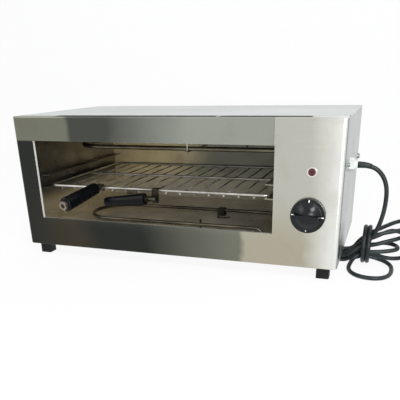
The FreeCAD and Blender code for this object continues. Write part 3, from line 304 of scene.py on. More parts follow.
@dataclass(frozen=True)
class SheetSteel:
    """Austenitic stainless sheet, rolled and finely brushed, with handling film and heat tint.

    Real brush lines are under 0.3 mm apart, too fine to show, so they are drawn 2 mm apart.  An
    Axis.EVEN grain is no brushing but the mottle of a baked film.
    """

    name: str
    shaded: str = "#6c6e66"
    middle: str = "#9a9c94"
    bright: str = "#c9cac4"
    roughness: float = 0.3
    grain: Axis = Axis.ALONG_X
    grain_mm: float = 2.0
    cloud_mm: float = 90.0
    film: str = "#8b8064"
    film_share: float = 0.25
    bump: float = 0.04
    wave: float = 0.25
    mirror: float = 1.0
    wave_mm: float = 110.0
    edge_mirror: float = 0.15
    patch_share: float = 0.6
    cloud_scale: Point = (1.0, 1.0, 1.6)

    def body_tone(self, tree: Tree) -> Socket:
        """Adds the sheet's own colour, cloudy from rolling and wiping.

        Args:
            tree: The node tree.

        Returns:
            The colour socket.
        """
        clouds = noise(tree, stretched(tree, self.cloud_scale), self.cloud_mm, 4.0, 0.55)
        share = spread(tree, clouds, 0.3, 0.7, 0.0, 1.0)
        return ramp(tree, share, ((0.0, self.shaded), (0.5, self.middle), (1.0, self.bright)))

    def stained(self, tree: Tree, tone: Socket) -> Socket:
        """Adds faint film where hands, heat and cleaning reach.

        Args:
            tree: The node tree.
            tone: The clean colour.

        Returns:
            The stained colour.
        """
        patches = noise(tree, stretched(tree, Axis.EVEN.value), self.cloud_mm * self.patch_share, 5.0, 0.6)
        share = spread(tree, patches, 0.5, 0.72, 0.0, self.film_share, True)
        return mixed(tree, share, tone, linear(self.film), "MULTIPLY")

    def highlit_edges(self, tree: Tree) -> Socket | float:
        """Returns the share of highlit edge, which a plain sheet doesn't have."""
        return 0.0

    def material(self) -> bpy.types.Material:
        """Builds the material.

        Returns:
            A rolled metal: soft stretched reflections on a sheet that isn't quite flat.
        """
        material, tree = new_material(self.name)
        tone = self.stained(tree, self.body_tone(tree))
        lines = noise(tree, stretched(tree, self.grain.value), self.grain_mm, 2.0, 0.6)
        polish = spread(tree, lines, 0.2, 0.8, *(self.roughness * gloss for gloss in GLOSS_SPREAD))
        waves = noise(tree, stretched(tree, Axis.EVEN.value), self.wave_mm, 1.0, 0.4)
        buckled = add(tree, "ShaderNodeBump", {},
                      {"Strength": self.wave, "Distance": WAVE_DEPTH, "Height": waves})
        relief = add(tree, "ShaderNodeBump", {}, {
            "Strength": self.bump, "Distance": GRAIN_DEPTH, "Height": lines,
            "Normal": buckled.outputs["Normal"]})
        edges = self.highlit_edges(tree)
        metal = spread(tree, edges, 0.0, 1.0, self.mirror, self.edge_mirror) if edges else self.mirror
        shader = add(tree, "ShaderNodeBsdfPrincipled", {}, {
            "Base Color": tone, "Metallic": metal, "Roughness": polish, "Normal": relief.outputs["Normal"]})
        close(tree, shader.outputs["BSDF"])
        return material


class Tone(Enum):
    """The few tones of the sheets: on the fascia, painted reflections of the room in front of it; on the rear
    wall, its yellow, grey and sand.
    """

    POOL = "#30322f"
    UMBER = "#423d33"
    DIM = "#4b4d48"
    OLIVE = "#75766a"
    SAGE = "#989c93"
    STRAW = "#d8c79a"
    SAND = "#ada896"
    MIST = "#b7b7ad"
    PALE = "#cfcfc8"
    GLARE = "#e2e3de"


Tones = tuple[tuple[float, Tone], ...]


@dataclass(frozen=True)
class BandedSteel(SheetSteel):
    """A bright sheet whose tone changes across the cabinet, in a high and a low band: on the fascia these
    bands are painted reflections of the room.
    """

    high: Tones = ()
    low: Tones = ()
    low_top: tuple[float, float] = (20.0, 70.0)
    lean: float = 0.0
    sway_mm: float = 9.0
    drift_mm: float = 55.0

    def across(self, tree: Tree, lean: float) -> Socket:
        """Adds the place across the cabinet, from 0 at its left to 1, swayed by the sheet's waviness.

        Args:
            tree: The node tree.
            lean: How far the bands lean to the left for each millimetre of height.

        Returns:
            The place's socket.
        """
        x, _, z = cabinet_axes(tree)
        drift = noise(tree, stretched(tree, Axis.EVEN.value), self.drift_mm, 3.0, 0.45)
        sway = spread(tree, drift, 0.3, 0.7, -self.sway_mm, self.sway_mm)
        leant = add(tree, "ShaderNodeMath", {"operation": "MULTIPLY_ADD"}, {0: z, 1: lean, 2: x})
        return spread(tree, combined(tree, leant.outputs[0], sway, "ADD"), 0.0, CABINET_WIDTH, 0.0, 1.0)

    def banded(self, tree: Tree, tones: Tones, lean: float = 0.0) -> Socket:
        """Adds the colours of one band.

        Args:
            tree: The node tree.
            tones: Places in millimetres from the left edge, each with its tone.
            lean: How far the band leans to the left for each millimetre of height.

        Returns:
            The colour socket.
        """
        return ramp(tree, self.across(tree, lean), [(x / CABINET_WIDTH, tone.value) for x, tone in tones])

    def body_tone(self, tree: Tree) -> Socket:
        """Adds the two bands' colours, one above the other.

        Args:
            tree: The node tree.

        Returns:
            The colour socket.
        """
        level = spread(tree, cabinet_axes(tree)[2], *self.low_top, 0.0, 1.0, True)
        return mixed(tree, level, self.banded(tree, self.low, self.lean), self.banded(tree, self.high))


@dataclass(frozen=True)
class FasciaSteel(BandedSteel):
    """The fascia's sheet: as BandedSteel, with an upper rail, welded seams, a painted highlight on the cut
    edges and painted shade on its outer return.

    All places are in millimetres.  Those in pairs are where a change starts and where it ends.
    """

    # the upper rail's tones: painted reflections, like the bands below it
    rail: Tones = ()
    rail_bottom: float = 198.5
    rail_right: tuple[float, float] = (488.0, 489.0)
    rail_blur: float = 0.6
    left_strip: tuple[float, float] = (38.0, 39.5)
    inner_returns: tuple[float, float] = (60.0, 70.0)
    sill_share: float = 0.55
    outer_return: tuple[float, float] = (590.0, 595.0)
    seam_width: tuple[float, float] = (0.35, 0.95)
    seam_share: float = 0.75
    upright_share: float = 0.5
    seam: str = "#55574f"
    # painted highlight on the opening's returns
    edge: str = "#f0efe8"
    # painted shade on the outer return, where it looks to the right
    side: str = "#858c8b"

    def highlit_edges(self, tree: Tree) -> Socket:
        """Adds the opening's left and bottom returns, which get a painted highlight and a less metallic
        finish.

        Args:
            tree: The node tree.

        Returns:
            The share, from 0 on the sheet to 1 on an edge.
        """
        x, _, z = cabinet_axes(tree)
        jamb = combined(tree, faces_toward(tree, "X"), spread(tree, x, *self.inner_returns, 1.0, 0.0))
        sill = combined(tree, faces_toward(tree, "Z"),
                        spread(tree, z, *self.inner_returns, self.sill_share, 0.0))
        return combined(tree, jamb, sill, "MAXIMUM")

    def on_line(self, tree: Tree, value: Socket, where: float) -> Socket:
        """Adds a hair line's strength, highest on the line and 0 beside it.

        Args:
            tree: The node tree.
            value: The coordinate that the line crosses.
            where: The line's place, in millimetres.

        Returns:
            The value's socket.
        """
        away = combined(tree, combined(tree, value, where, "SUBTRACT"), operation="ABSOLUTE")
        return spread(tree, away, *self.seam_width, self.seam_share, 0.0)

    def body_tone(self, tree: Tree) -> Socket:
        """Adds the bands and the rail above the opening, all painted reflections, the seams, the painted
        highlight on the cut edges and the painted shade on the outer return.

        Args:
            tree: The node tree.

        Returns:
            The colour socket.
        """
        x, _, z = cabinet_axes(tree)
        tone = super().body_tone(tree)
        rail_edge = (self.rail_bottom - self.rail_blur, self.rail_bottom + self.rail_blur)
        # the rail above the opening carries its own painted reflections
        above = combined(tree, spread(tree, x, *self.rail_right, 1.0, 0.0),
                         spread(tree, z, *rail_edge, 0.0, 1.0))
        tone = mixed(tree, above, tone, self.banded(tree, self.rail))
        left = spread(tree, x, *self.left_strip, 1.0, 0.0)
        level_seam = combined(tree, self.on_line(tree, z, self.rail_bottom), left)
        upright_seam = combined(tree, self.on_line(tree, x, sum(self.rail_right) / 2),
                                spread(tree, z, *rail_edge, 0.0, self.upright_share))
        tone = mixed(tree, combined(tree, level_seam, upright_seam, "MAXIMUM"), tone, linear(self.seam))
        # painted highlight on the opening's left and bottom returns
        tone = mixed(tree, self.highlit_edges(tree), tone, linear(self.edge))
        # painted shade: the outer return, which looks to the right, is painted a darker grey
        outside = spread(tree, x, *self.outer_return, 0.0, 1.0)
        return mixed(tree, combined(tree, faces_toward(tree, "X"), outside), tone, linear(self.side))


@dataclass(frozen=True)
class DarkAboveSteel(SheetSteel):
    """A sheet that is dark from just under the rack upward and paler below."""

    low: str = "#bdb195"
    pale_below: float = 72.0
    dark_above: float = 104.0

    def body_tone(self, tree: Tree) -> Socket:
        """Adds the dark colour and, low down, the paler one.

        Args:
            tree: The node tree.

        Returns:
            The colour socket.
        """
        height = cabinet_axes(tree)[2]
        level = spread(tree, height, self.pale_below, self.dark_above, 0.0, 1.0, True)
        return mixed(tree, level, linear(self.low), super().body_tone(tree))


@dataclass(frozen=True)
class LinedSteel(SheetSteel):
    """A sheet whose faces that look one way are painted black: painted shade."""

    # painted shade: the colour of the faces that look along the axis and sign
    black: str = "#171614"
    axis: str = "Z"
    sign: float = 1.0

    def stained(self, tree: Tree, tone: Socket) -> Socket:
        """Adds the film and, on the faces that look that way, painted shade in black.

        Args:
            tree: The node tree.
            tone: The clean colour.

        Returns:
            The stained colour.
        """
        film = super().stained(tree, tone)
        return mixed(tree, faces_toward(tree, self.axis, self.sign), film, linear(self.black))


@dataclass(frozen=True)
class PlainFinish:
    """One colour with a slight mottle, a gloss and a texture, for small metal parts and non-metals.

    The real texture is finer than 0.2 mm, too fine to show, so it is drawn coarser.
    """

    name: str
    colour: str
    second: str
    roughness: float
    mottle_mm: float = 12.0
    texture_mm: float = 1.5
    bump: float = 0.08
    ior: float = 1.5
    metallic: float = 0.0

    def material(self) -> bpy.types.Material:
        """Builds the material.

        Returns:
            The mottled and textured finish.
        """
        material, tree = new_material(self.name)
        plain = stretched(tree, Axis.EVEN.value)
        mottle = noise(tree, plain, self.mottle_mm, 4.0, 0.55)
        share = spread(tree, mottle, 0.35, 0.65, 0.0, 1.0)
        tone = ramp(tree, share, ((0.0, self.colour), (1.0, self.second)))
        texture = noise(tree, plain, self.texture_mm, 2.0, 0.5)
        polish = spread(tree, mottle, 0.2, 0.8, *(self.roughness * gloss for gloss in GLOSS_SPREAD))
        relief = add(tree, "ShaderNodeBump", {},
                     {"Strength": self.bump, "Distance": TEXTURE_DEPTH, "Height": texture})
        inputs = {"Base Color": tone, "Roughness": polish, "Normal": relief.outputs["Normal"],
                  "Metallic": self.metallic}
        if not self.metallic:
            inputs["IOR"] = self.ior
        shader = add(tree, "ShaderNodeBsdfPrincipled", {}, inputs)
        close(tree, shader.outputs["BSDF"])
        return material


# the fascia: bright-rolled stainless; its dim pools at the left and pale glare at the right are painted
# reflections of the room, laid into its colour as bands of tones
FASCIA_STEEL = FasciaSteel(
    "stainless_fascia_bright_rolled", roughness=0.24, bump=0.015, film="#d8d0b8", film_share=0.15,
    rail=((0, Tone.OLIVE), (106, Tone.OLIVE), (114, Tone.DIM), (190, Tone.DIM), (350, Tone.SAGE),
          (488, Tone.SAGE)),
    high=((0, Tone.POOL), (36, Tone.POOL), (42, Tone.DIM), (488, Tone.MIST), (545, Tone.MIST),
          (578, Tone.PALE), (597, Tone.GLARE)),
    low=((0, Tone.POOL), (114, Tone.UMBER), (160, Tone.POOL), (250, Tone.POOL), (422, Tone.OLIVE),
         (436, Tone.OLIVE), (446, Tone.SAND), (545, Tone.SAND), (590, Tone.GLARE)),
    low_top=(38.0, 130.0), lean=0.12)
# outer panels: brushed stainless, an even soft grey with fine lines along the sheet
PANEL_STEEL = SheetSteel("stainless_panel_brushed", shaded="#a5abaa", middle="#aeb3b2", bright="#b9bebc",
                         roughness=0.34, grain=Axis.ALONG_Z, cloud_mm=160.0, film="#cfcec5", film_share=0.12,
                         wave=0.08)
# top cover: pale stainless brushed to a satin; the faces that look forward are painted black as painted
# shade, so the vent slot behind the fascia's top edge reads dark
TOP_STEEL = LinedSteel("stainless_cover_brushed", shaded="#c2c5c4", middle="#c9cccb", bright="#d1d4d3",
                       roughness=0.5, grain=Axis.ALONG_X, cloud_mm=160.0, film="#e4e2da", film_share=0.1,
                       wave=0.08, mirror=0.45, axis="Y", sign=-1.0)
# what the cavity's sheets share: a baked film whose mottle is about 25 mm across
BAKED = {"grain": Axis.EVEN, "grain_mm": 25.0, "bump": 0.02}
# cavity's right wall, its runner and the upper hanger: stainless tinted a dull straw by heat and fat
CAVITY_STEEL = SheetSteel("stainless_cavity_heat_tinted", shaded="#827e74", middle="#9c978a",
                          bright="#b4ae9f", roughness=0.3, cloud_mm=70.0, film="#b5a488",
                          film_share=0.3, mirror=0.85, **BAKED)
# cavity's left wall, beside the elements' bends, and its runner: nearly black high up, paler low down
DARK_ABOVE_STEEL = DarkAboveSteel("stainless_cavity_dark_above", shaded="#393733", middle="#484540",
                           bright="#5f5b53", roughness=0.3, cloud_mm=60.0, film="#9a8a70",
                           film_share=0.3, mirror=0.8, **BAKED)
# cavity roof: warm grey below; the faces that look up are painted black as painted shade
ROOF_STEEL = LinedSteel("stainless_cavity_roof", shaded="#5f5b52", middle="#706b61", bright="#878176",
                        roughness=0.3, cloud_mm=70.0, film="#a58a62", film_share=0.35, mirror=0.9, **BAKED)
# rear wall: baked film scatters light; it is yellow at the left, greyer to the right and sand-coloured low
# down
REAR_STEEL = BandedSteel("stainless_rear_banded", roughness=0.34, cloud_mm=60.0, film="#c2ab80",
                         film_share=0.35, mirror=0.55, sway_mm=26.0, low_top=(70.0, 110.0),
                         high=((37, Tone.STRAW), (130, Tone.STRAW), (300, Tone.OLIVE), (492, Tone.OLIVE)),
                         low=((37, Tone.SAND), (492, Tone.SAND)), **BAKED)
# cavity floor: the same sheet, in a paler colour
FLOOR_STEEL = SheetSteel("stainless_cavity_floor_pale", shaded="#a39c8c", middle="#bdb5a5",
                         bright="#d6cdbb", roughness=0.3, cloud_mm=75.0, film="#b3a283",
                         film_share=0.35, mirror=0.6, **BAKED)
# screws, bolts, stud, switch shaft and cavity brackets: zinc-plated steel, a dull even grey
ZINC = PlainFinish("steel_zinc_plated", "#8d8f8d", "#a9abaa", 0.38, metallic=1.0, bump=0.1)
# handle rods, pins and left bracket, rack tab: plated steel that heat has dulled to bronze-grey
DULL_STEEL = PlainFinish("steel_heat_dulled", "#4c4840", "#6a655a", 0.42, metallic=1.0, bump=0.15)
# right handle's bracket and ferrule, roof screw, lower clip, pin: steel oxidised nearly black
OXIDE_STEEL = PlainFinish("steel_oxidised_dark", "#25221d", "#3b362e", 0.5, metallic=1.0, bump=0.2)
# rack frame, its middle rail and the plug's pins: bright plating with patches of a warm bloom
CHROME = PlainFinish("wire_chrome_plated", "#8e8b84", "#c2bfb8", 0.3, metallic=0.9, bump=0.03,
                     mottle_mm=45.0)
# rack cross wires: thinner wire whose chrome has worn satin, so that it catches light all round
WIRE = PlainFinish("wire_chrome_worn", "#45433c", "#b9b6ab", 0.3, metallic=0.25, bump=0.08, mottle_mm=40.0)
# left handle's end nut: worn plated brass, a dull warm grey
NUT_BRASS = PlainFinish("brass_plated_worn", "#6f645e", "#988c86", 0.36, metallic=1.0, bump=0.05,
                        mottle_mm=4.0)
# element sheath: nickel alloy tube, oxidised dark with paler stretches
SHEATH = PlainFinish("element_sheath_oxidised", "#4a453d", "#77715f", 0.34, metallic=1.0, bump=0.12,
                     mottle_mm=60.0)
# handles: phenolic resin, moulded glossy and worn to a satin
BAKELITE = PlainFinish("phenolic_moulded_black", "#050607", "#0b0c0e", 0.26, ior=1.22, bump=0.05)
# knob: phenolic resin, moulded with a polished dome
KNOB_BAKELITE = PlainFinish("phenolic_polished_black", "#070b0c", "#0f1517", 0.2, ior=1.35, bump=0.02)
# index marks: white paint filled into moulded grooves
MARK_PAINT = PlainFinish("paint_filled_white", "#e9e9e4", "#f4f4f0", 0.5, ior=1.45)
# pilot lens: moulded acrylic over an unlit lamp, a deep glossy red
LENS = PlainFinish("acrylic_moulded_red", "#3a1719", "#4d2224", 0.16, ior=1.4, bump=0.0, mottle_mm=4.0)
# lamp bezel: polished chrome, a pale ring round the dark lens
BEZEL = PlainFinish("bezel_chrome_polished", "#d9cfcc", "#e2d9d6", 0.25, metallic=1.0, bump=0.0)
# gland, its locknut and the pilot lamp's body: moulded polyamide, pale grey and satin
NYLON = PlainFinish("polyamide_moulded_pale", "#c3c8c5", "#d3d7d4", 0.5, ior=1.45, bump=0.04)
# rotary switch: moulded thermoset, an even satin black
SWITCH = PlainFinish("thermoset_moulded_black", "#1b1c1d", "#262728", 0.5, bump=0.1)
# terminals: fired unglazed steatite, chalky cream
CERAMIC = PlainFinish("steatite_fired", "#d9d3c4", "#e6e1d4", 0.75, texture_mm=0.6, bump=0.15)
# supply cord, its tie and plug, inner wires: black rubber, satin and slightly dusty
FLEX = PlainFinish("rubber_extruded_black", "#171c1d", "#2b3233", 0.34, mottle_mm=30.0, ior=1.32, bump=0.06)
# feet: moulded rubber, a soft dull black
FOOT = PlainFinish("rubber_moulded_black", "#08090a", "#101112", 0.45, ior=1.3, bump=0.15)


# ---- mesh tools
def rides(piece: bpy.types.Object, body: str) -> bpy.types.Object:
    """Makes a new piece move with a body.

    Args:
        piece: The new piece.
        body: The body's name.

    Returns:
        The same piece.
    """
    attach(piece, body)
    return piece


def linked(name: str, data: bpy.types.ID) -> bpy.types.Object:
    """Makes an object for some data and puts it in the scene.

    Args:
        name: The object's name.
        data: Its mesh, curve, camera or light.

    Returns:
        The new object.
    """
    piece = bpy.data.objects.new(name, data)
    bpy.context.scene.collection.objects.link(piece)
    return piece


def mesh_piece(name: str, shape: bmesh.types.BMesh, material: bpy.types.Material) -> bpy.types.Object:
    """Turns a bmesh into a smooth-shaded object in the scene.

    Args:
        name: The piece's name.
        shape: Its shape, which is freed.
        material: Its finish.

    Returns:
        The new object.
    """
    mesh = bpy.data.meshes.new(name)
    bmesh.ops.recalc_face_normals(shape, faces=shape.faces)
    shape.to_mesh(mesh)
    shape.free()
    for polygon in mesh.polygons:
        polygon.use_smooth = True
    mesh.materials.append(material)
    return linked(name, mesh)


def ring_of(shape: bmesh.types.BMesh, centre: Vector, across: Vector, up: Vector, radius: float,
            count: int) -> list[bmesh.types.BMVert]:
    """Adds a ring of vertices round a point.

    Args:
        shape: The shape to add to.
        centre: The ring's centre.
        across: A unit vector in the ring's plane.
        up: The other unit vector in the plane.
        radius: The ring's radius in metres.
        count: How many vertices it has.

    Returns:
        The ring's vertices in order.
    """
    turn = 2 * math.pi / count
    return [shape.verts.new(centre + (across * math.cos(turn * i) + up * math.sin(turn * i)) * radius)
            for i in range(count)]


def tube(path: Sequence[Vector], radii: Sequence[float], count: int) -> bmesh.types.BMesh:
    """Sweeps a round section along a path and closes both ends.

    Args:
        path: The points that the tube follows.
        radii: Its radius at each point, in metres.
        count: Sides of the section.

    Returns:
        The tube's shape.
    """
    shape = bmesh.new()
    rings = []
    up = Vector((0, 0, 1))
    for i, centre in enumerate(path):
        ahead = path[min(i + 1, len(path) - 1)] - path[max(i - 1, 0)]
        ahead.normalize()
        across = up.cross(ahead)
        if across.length < 1e-4:
            across = Vector((0, 1, 0))
        across.normalize()
        rings.append(ring_of(shape, centre, across, ahead.cross(across), radii[i], count))
    for first, second in zip(rings, rings[1:]):
        for i in range(count):
            j = (i + 1) % count
            shape.faces.new((first[i], first[j], second[j], second[i]))
    shape.faces.new(list(reversed(rings[0])))
    shape.faces.new(rings[-1])
    return shape


# ---- camera
@dataclass(frozen=True)
class ViewCamera:
    """The camera: above the cabinet's right front, looking down and to the left."""

    location: Point = (360.76, -948.81, 322.89)
    yaw: float = -0.344
    pitch: float = 0.401
    roll: float = 0.024
    sensor_mm: float = 36.0
    lens_mm: float = 46.63
    shift: tuple[float, float] = (-0.0056, 0.2387)
    clip: tuple[float, float] = (0.02, 20.0)

    def build(self) -> bpy.types.Object:
        """Makes the camera and sets it as the scene's.

        Returns:
            The camera object.
        """
        ahead = Vector((math.sin(self.yaw) * math.cos(self.pitch),
                        math.cos(self.yaw) * math.cos(self.pitch), -math.sin(self.pitch)))
        level = Vector((math.cos(self.yaw), -math.sin(self.yaw), 0.0))
        below = ahead.cross(level)
        right = math.cos(self.roll) * level + math.sin(self.roll) * below
        down = -math.sin(self.roll) * level + math.cos(self.roll) * below
        turned = Matrix((right, -down, -ahead)).transposed().to_4x4()
        lens = bpy.data.cameras.new("view_camera")
        lens.sensor_width = self.sensor_mm
        lens.lens = self.lens_mm
        lens.shift_x, lens.shift_y = self.shift
        lens.clip_start, lens.clip_end = self.clip
        camera = linked("view_camera", lens)
        camera.matrix_world = Matrix.Translation(Vector(self.location) * MM) @ turned
        bpy.context.scene.camera = camera
        return camera


# ---- knob
@dataclass(frozen=True)
class Knob:
    """The moulded knob: a flat skirt and two low domes with a narrow bar between them, all edges soft."""

    centre: tuple[float, float] = (548.0, 90.4)
    tilt_degrees: float = 3.5
    back: float = 1.5
    skirt_face: float = 6.9
    skirt_radius: float = 28.0
    edge_round: float = 0.9
    cap_face: float = 21.5
    cap_radius: tuple[float, float] = (19.0, 22.0)
    dome_rise: float = 10.6
    bar_half: float = 2.4
    bar_root: float = 4.4
    softness: float = 0.5
    ring_step: float = 0.5
    cone_rings: int = 8
    skirt_steps: tuple[float, ...] = (0.7, 2.5, 4.5)
    edge_rings: int = 4
    rim_width: float = 2.0
    segments: int = 192

    def lobes(self, across: float, up: float) -> float:
        """Works out how far the cap would stand out if it had no outer edge.

        Args:
            across: Millimetres from the centre, along the bar.
            up: Millimetres from the centre, across the bar.

        Returns:
            The height above the fascia.
        """
        share = min(1.0, math.hypot(across, up) / self.cap_radius[1])
        dome = self.skirt_face + self.dome_rise * (1.0 - share ** 2)
        flank = min(1.0, max(0.0, (self.bar_root - abs(up)) / (self.bar_root - self.bar_half)))
        return dome + (self.cap_face - dome) * flank

    def sharp_height(self, across: float, up: float) -> float:
        """Works out the face's height before its edges are softened.

        Args:
            across: Millimetres from the centre, along the bar.
            up: Millimetres from the centre, across the bar.

        Returns:
            The height above the fascia.
        """
        top, foot = self.cap_radius
        share = min(1.0, max(0.0, (foot - math.hypot(across, up)) / (foot - top)))
        cone = self.skirt_face + (self.cap_face - self.skirt_face) * share
        return max(self.skirt_face, min(cone, self.lobes(across, up)))

    def height(self, across: float, up: float) -> float:
        """Averages the face over a small cross, which rounds its edges.

        Args:
            across: Millimetres from the centre, along the bar.
            up: Millimetres from the centre, across the bar.

        Returns:
            The height above the fascia.
        """
        soft = self.softness
        steps = ((0, 0), (soft, 0), (-soft, 0), (0, soft), (0, -soft), (0, soft / 2), (0, -soft / 2))
        return sum(self.sharp_height(across + a, up + b) for a, b in steps) / len(steps)

    def profile(self) -> list[tuple[float, float | None]]:
        """Lists the rings from the middle outward.

        Returns:
            Radii, each with a height, or None where the face's own height holds.
        """
        top, foot = self.cap_radius
        radii = [self.ring_step * i for i in range(1, int(top / self.ring_step))]
        radii += [top + (foot - top) * i / self.cone_rings for i in range(self.cone_rings + 1)]
        radii += [foot + step for step in self.skirt_steps]
        rings: list[tuple[float, float | None]] = [(radius, None) for radius in radii]
        for i in range(self.edge_rings + 1):
            angle = math.pi / 2 * i / self.edge_rings
            rings.append((self.skirt_radius - self.edge_round * (1 - math.sin(angle)),
                          self.skirt_face - self.edge_round * (1 - math.cos(angle))))
        return rings + [(self.skirt_radius, self.back), (self.skirt_radius - self.rim_width, self.back)]

    def point(self, across: float, up: float, height: float) -> Vector:
        """Works out a place in the frame from a place on the knob.

        Args:
            across: Millimetres from the centre, along the bar.
            up: Millimetres from the centre, across the bar.
            height: Distance in front of the fascia.

        Returns:
            The point in the frame, in metres.
        """
        tilt = math.radians(self.tilt_degrees)
        x = self.centre[0] + across * math.cos(tilt) + up * math.sin(tilt)
        z = self.centre[1] - across * math.sin(tilt) + up * math.cos(tilt)
        return place(x, -height, z)

    def build(self) -> bpy.types.Object:
        """Makes the knob in place of the CAD one.

        Returns:
            The knob, which turns with its shaft.
        """
        shape = bmesh.new()
        middle = shape.verts.new(self.point(0.0, 0.0, self.height(0.0, 0.0)))
        rings = []
        for radius, fixed in self.profile():
            ring = []
            for i in range(self.segments):
                angle = 2 * math.pi * i / self.segments
                across, up = radius * math.cos(angle), radius * math.sin(angle)
                ring.append(shape.verts.new(
                    self.point(across, up, self.height(across, up) if fixed is None else fixed)))
            rings.append(ring)
        for i in range(self.segments):
            j = (i + 1) % self.segments
            shape.faces.new((middle, rings[0][i], rings[0][j]))
            for inner, outer in zip(rings, rings[1:]):
                shape.faces.new((inner[i], outer[i], outer[j], inner[j]))
        shape.faces.new(rings[-1])
        knob = mesh_piece("knob_moulded", shape, KNOB_BAKELITE.material())
        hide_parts("control_knob")
        LOG.info("knob: %d rings", len(rings))
        return rides(knob, "knob")


# ---- cord
@dataclass(frozen=True)
class Lobe:
    """One rounded end of the hank: its distance out, half width, height and slope."""

    reach: float
    half_width: float
    height: float
    slope: float = 0.0

    def points(self, origin: tuple[float, float], heading: float) -> list[Point]:
        """Works out the four control points of the rounded end.

        Args:
            origin: The X and Y from which the lobe's reach is measured.
            heading: Its direction from +X, in degrees.

        Returns:
            Cabinet coordinates, from the lobe's left side round to its right side.
        """
        ahead = Vector((math.cos(math.radians(heading)), math.sin(math.radians(heading))))
        left = Vector((-ahead.y, ahead.x))
        corner = math.tan(math.radians(22.5))
        middle = self.reach - self.half_width
        found = []
        for out, side in ((corner, 1.0), (1.0, corner), (1.0, -corner), (corner, -1.0)):
            flat = Vector(origin) + ahead * (middle + out * self.half_width) + left * side * self.half_width
            found.append((flat.x, flat.y, self.height + self.slope * side))
        return found


@dataclass(frozen=True)
class Turn:
    """One turn of the hank, from the tie round a left lobe and, where there is one, a right lobe."""

    entry: Point
    inward: tuple[Point, ...]
    left: Lobe
    outward: Point
    leave: Point
    onward: Point | None = None
    right_origin: tuple[float, float] = (652.0, 120.0)
    right: Lobe | None = None
    back: tuple[Point, ...] = ()


@dataclass
class SupplyCord:
    """The rubber supply cord: from the gland down into a tied hank, round a loop, to its plug."""

    diameter: float = 7.5
    length: float = 1.67
    run: tuple[Point, ...] = ((613.5, 90, 159), (637, 90, 158), (654, 91, 145), (663, 92, 126),
                              (665, 93, 103), (663, 95, 77), (658, 98, 54), (651, 103, 36))
    loop: tuple[Point, ...] = ((640, 106, 3), (622, 100, -6), (616, 87, -14), (614, 68, -17.2),
                               (620, 47, -17.2), (633, 32, -17.2), (651, 26, -17.2), (669, 29, -17.2),
                               (681, 42, -17.2), (686, 60, -17.2), (687, 80, -17.2), (685, 99, -16.5),
                               (675, 112, -14), (660, 117, -11), (650, 114, -8))
    tail: tuple[Point, ...] = ((653, 129, -6), (668, 136, -14), (690, 139, -17.2), (716, 139, -10),
                               (736.6, 139, -3.4))
    left_origin: tuple[float, float] = (632.0, 120.0)
    left_heading: float = 150.0
    right_heading: float = 35.0
    turns: tuple[Turn, ...] = (
        Turn((640, 106, 18), ((622, 103, 6), (606, 108, -8)), Lobe(50, 26, -9.2), (626, 147, 12),
             (640, 127, 29), (656, 130, 39), (652.0, 120.0), Lobe(79, 22, 45, 2.0),
             ((668, 115, 38), (653, 112, 32))),
        Turn((640, 110, 26.5), ((622, 116, 9), (610, 116.5, -6)), Lobe(42, 18.5, -9.2), (626, 139, 6),
             (640, 127, 20), (656, 130, 26), (652.0, 120.0), Lobe(58, 20, 29, 1.5),
             ((667, 113, 20), (652, 112, 15))),
        Turn((640, 112.5, 13), ((622, 110.5, -5), (606, 110, -17)), Lobe(52, 26, -17.2), (628, 147, -4),
             (639, 130, 9), (659, 132, 11), (656.0, 117.0), Lobe(42, 21, 8, 1.0), ((664, 108, 4),)),
        Turn((640, 114, -5), ((623, 117, -12.5), (608, 117.5, -16.5)), Lobe(43, 18, -17.2),
             (626, 141.5, -10), (641, 127, -2)),
    )
    section_steps: int = 5
    span_steps: int = 8
    sleeve_line: tuple[tuple[float, float], ...] = ((613, 159), (618, 159), (624, 158.8), (630, 158.0),
                                                    (636, 156.4))
    sleeve_radii: tuple[float, ...] = (5.5, 5.4, 5.1, 4.7, 4.3)
    sleeve_sides: int = 24

    def turn_points(self, turn: Turn) -> list[Point]:
        """Works out one turn's control points.

        Args:
            turn: The turn.

        Returns:
            Its points in cabinet coordinates.
        """
        found = [turn.entry, *turn.inward, *turn.left.points(self.left_origin, self.left_heading),
                 turn.outward, turn.leave]
        if turn.right is not None:
            found += [turn.onward, *turn.right.points(turn.right_origin, self.right_heading), *turn.back]
        return found

    def route(self) -> list[Vector]:
        """Lists the cord's control points, from the gland to the plug.

        Returns:
            The points in the frame, in metres.
        """
        found = list(self.run)
        for turn in self.turns[:-1]:
            found += self.turn_points(turn)
        found += self.loop
        found += self.turn_points(self.turns[-1])
        found += self.tail
        return [place(*point) for point in found]

    def flex(self) -> bpy.types.Object:
        """Makes the cord itself as one smooth spline.

        Returns:
            The curve object.
        """
        points = self.route()
        curve = bpy.data.curves.new("supply_cord", "CURVE")
        curve.dimensions = "3D"
        curve.bevel_depth = self.diameter / 2 * MM
        curve.bevel_resolution = self.section_steps
        curve.resolution_u = self.span_steps
        curve.use_fill_caps = True
        spline = curve.splines.new("NURBS")
        spline.points.add(len(points) - 1)
        for knot, point in zip(spline.points, points):
            knot.co = (*point, 1.0)
        spline.order_u = 3
        spline.use_endpoint_u = True
        curve.materials.append(FLEX.material())
        piece = linked("supply_cord", curve)
        rides(piece, "cabinet")
        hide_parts("power_cord", "cord_loop", "cord_tail", "cord_hank")
        return piece

    def sleeve(self) -> bpy.types.Object:
        """Makes the tapered strain relief where the cord leaves the gland.

        Returns:
            The sleeve.
        """
        depth = self.run[0][1]
        line = [place(x, depth, z) for x, z in self.sleeve_line]
        radii = [radius * MM for radius in self.sleeve_radii]
        piece = mesh_piece("cord_sleeve", tube(line, radii, self.sleeve_sides), FLEX.material())
        return rides(piece, "cabinet")

    def build(self, nodes: dict[str, bpy.types.Object]) -> None:
        """Args:
            nodes: The frame's nodes by name; not used.
        """
        cord = self.flex()
        sleeve = self.sleeve()
        LOG.info("supply cord: %d control points", len(self.route()))


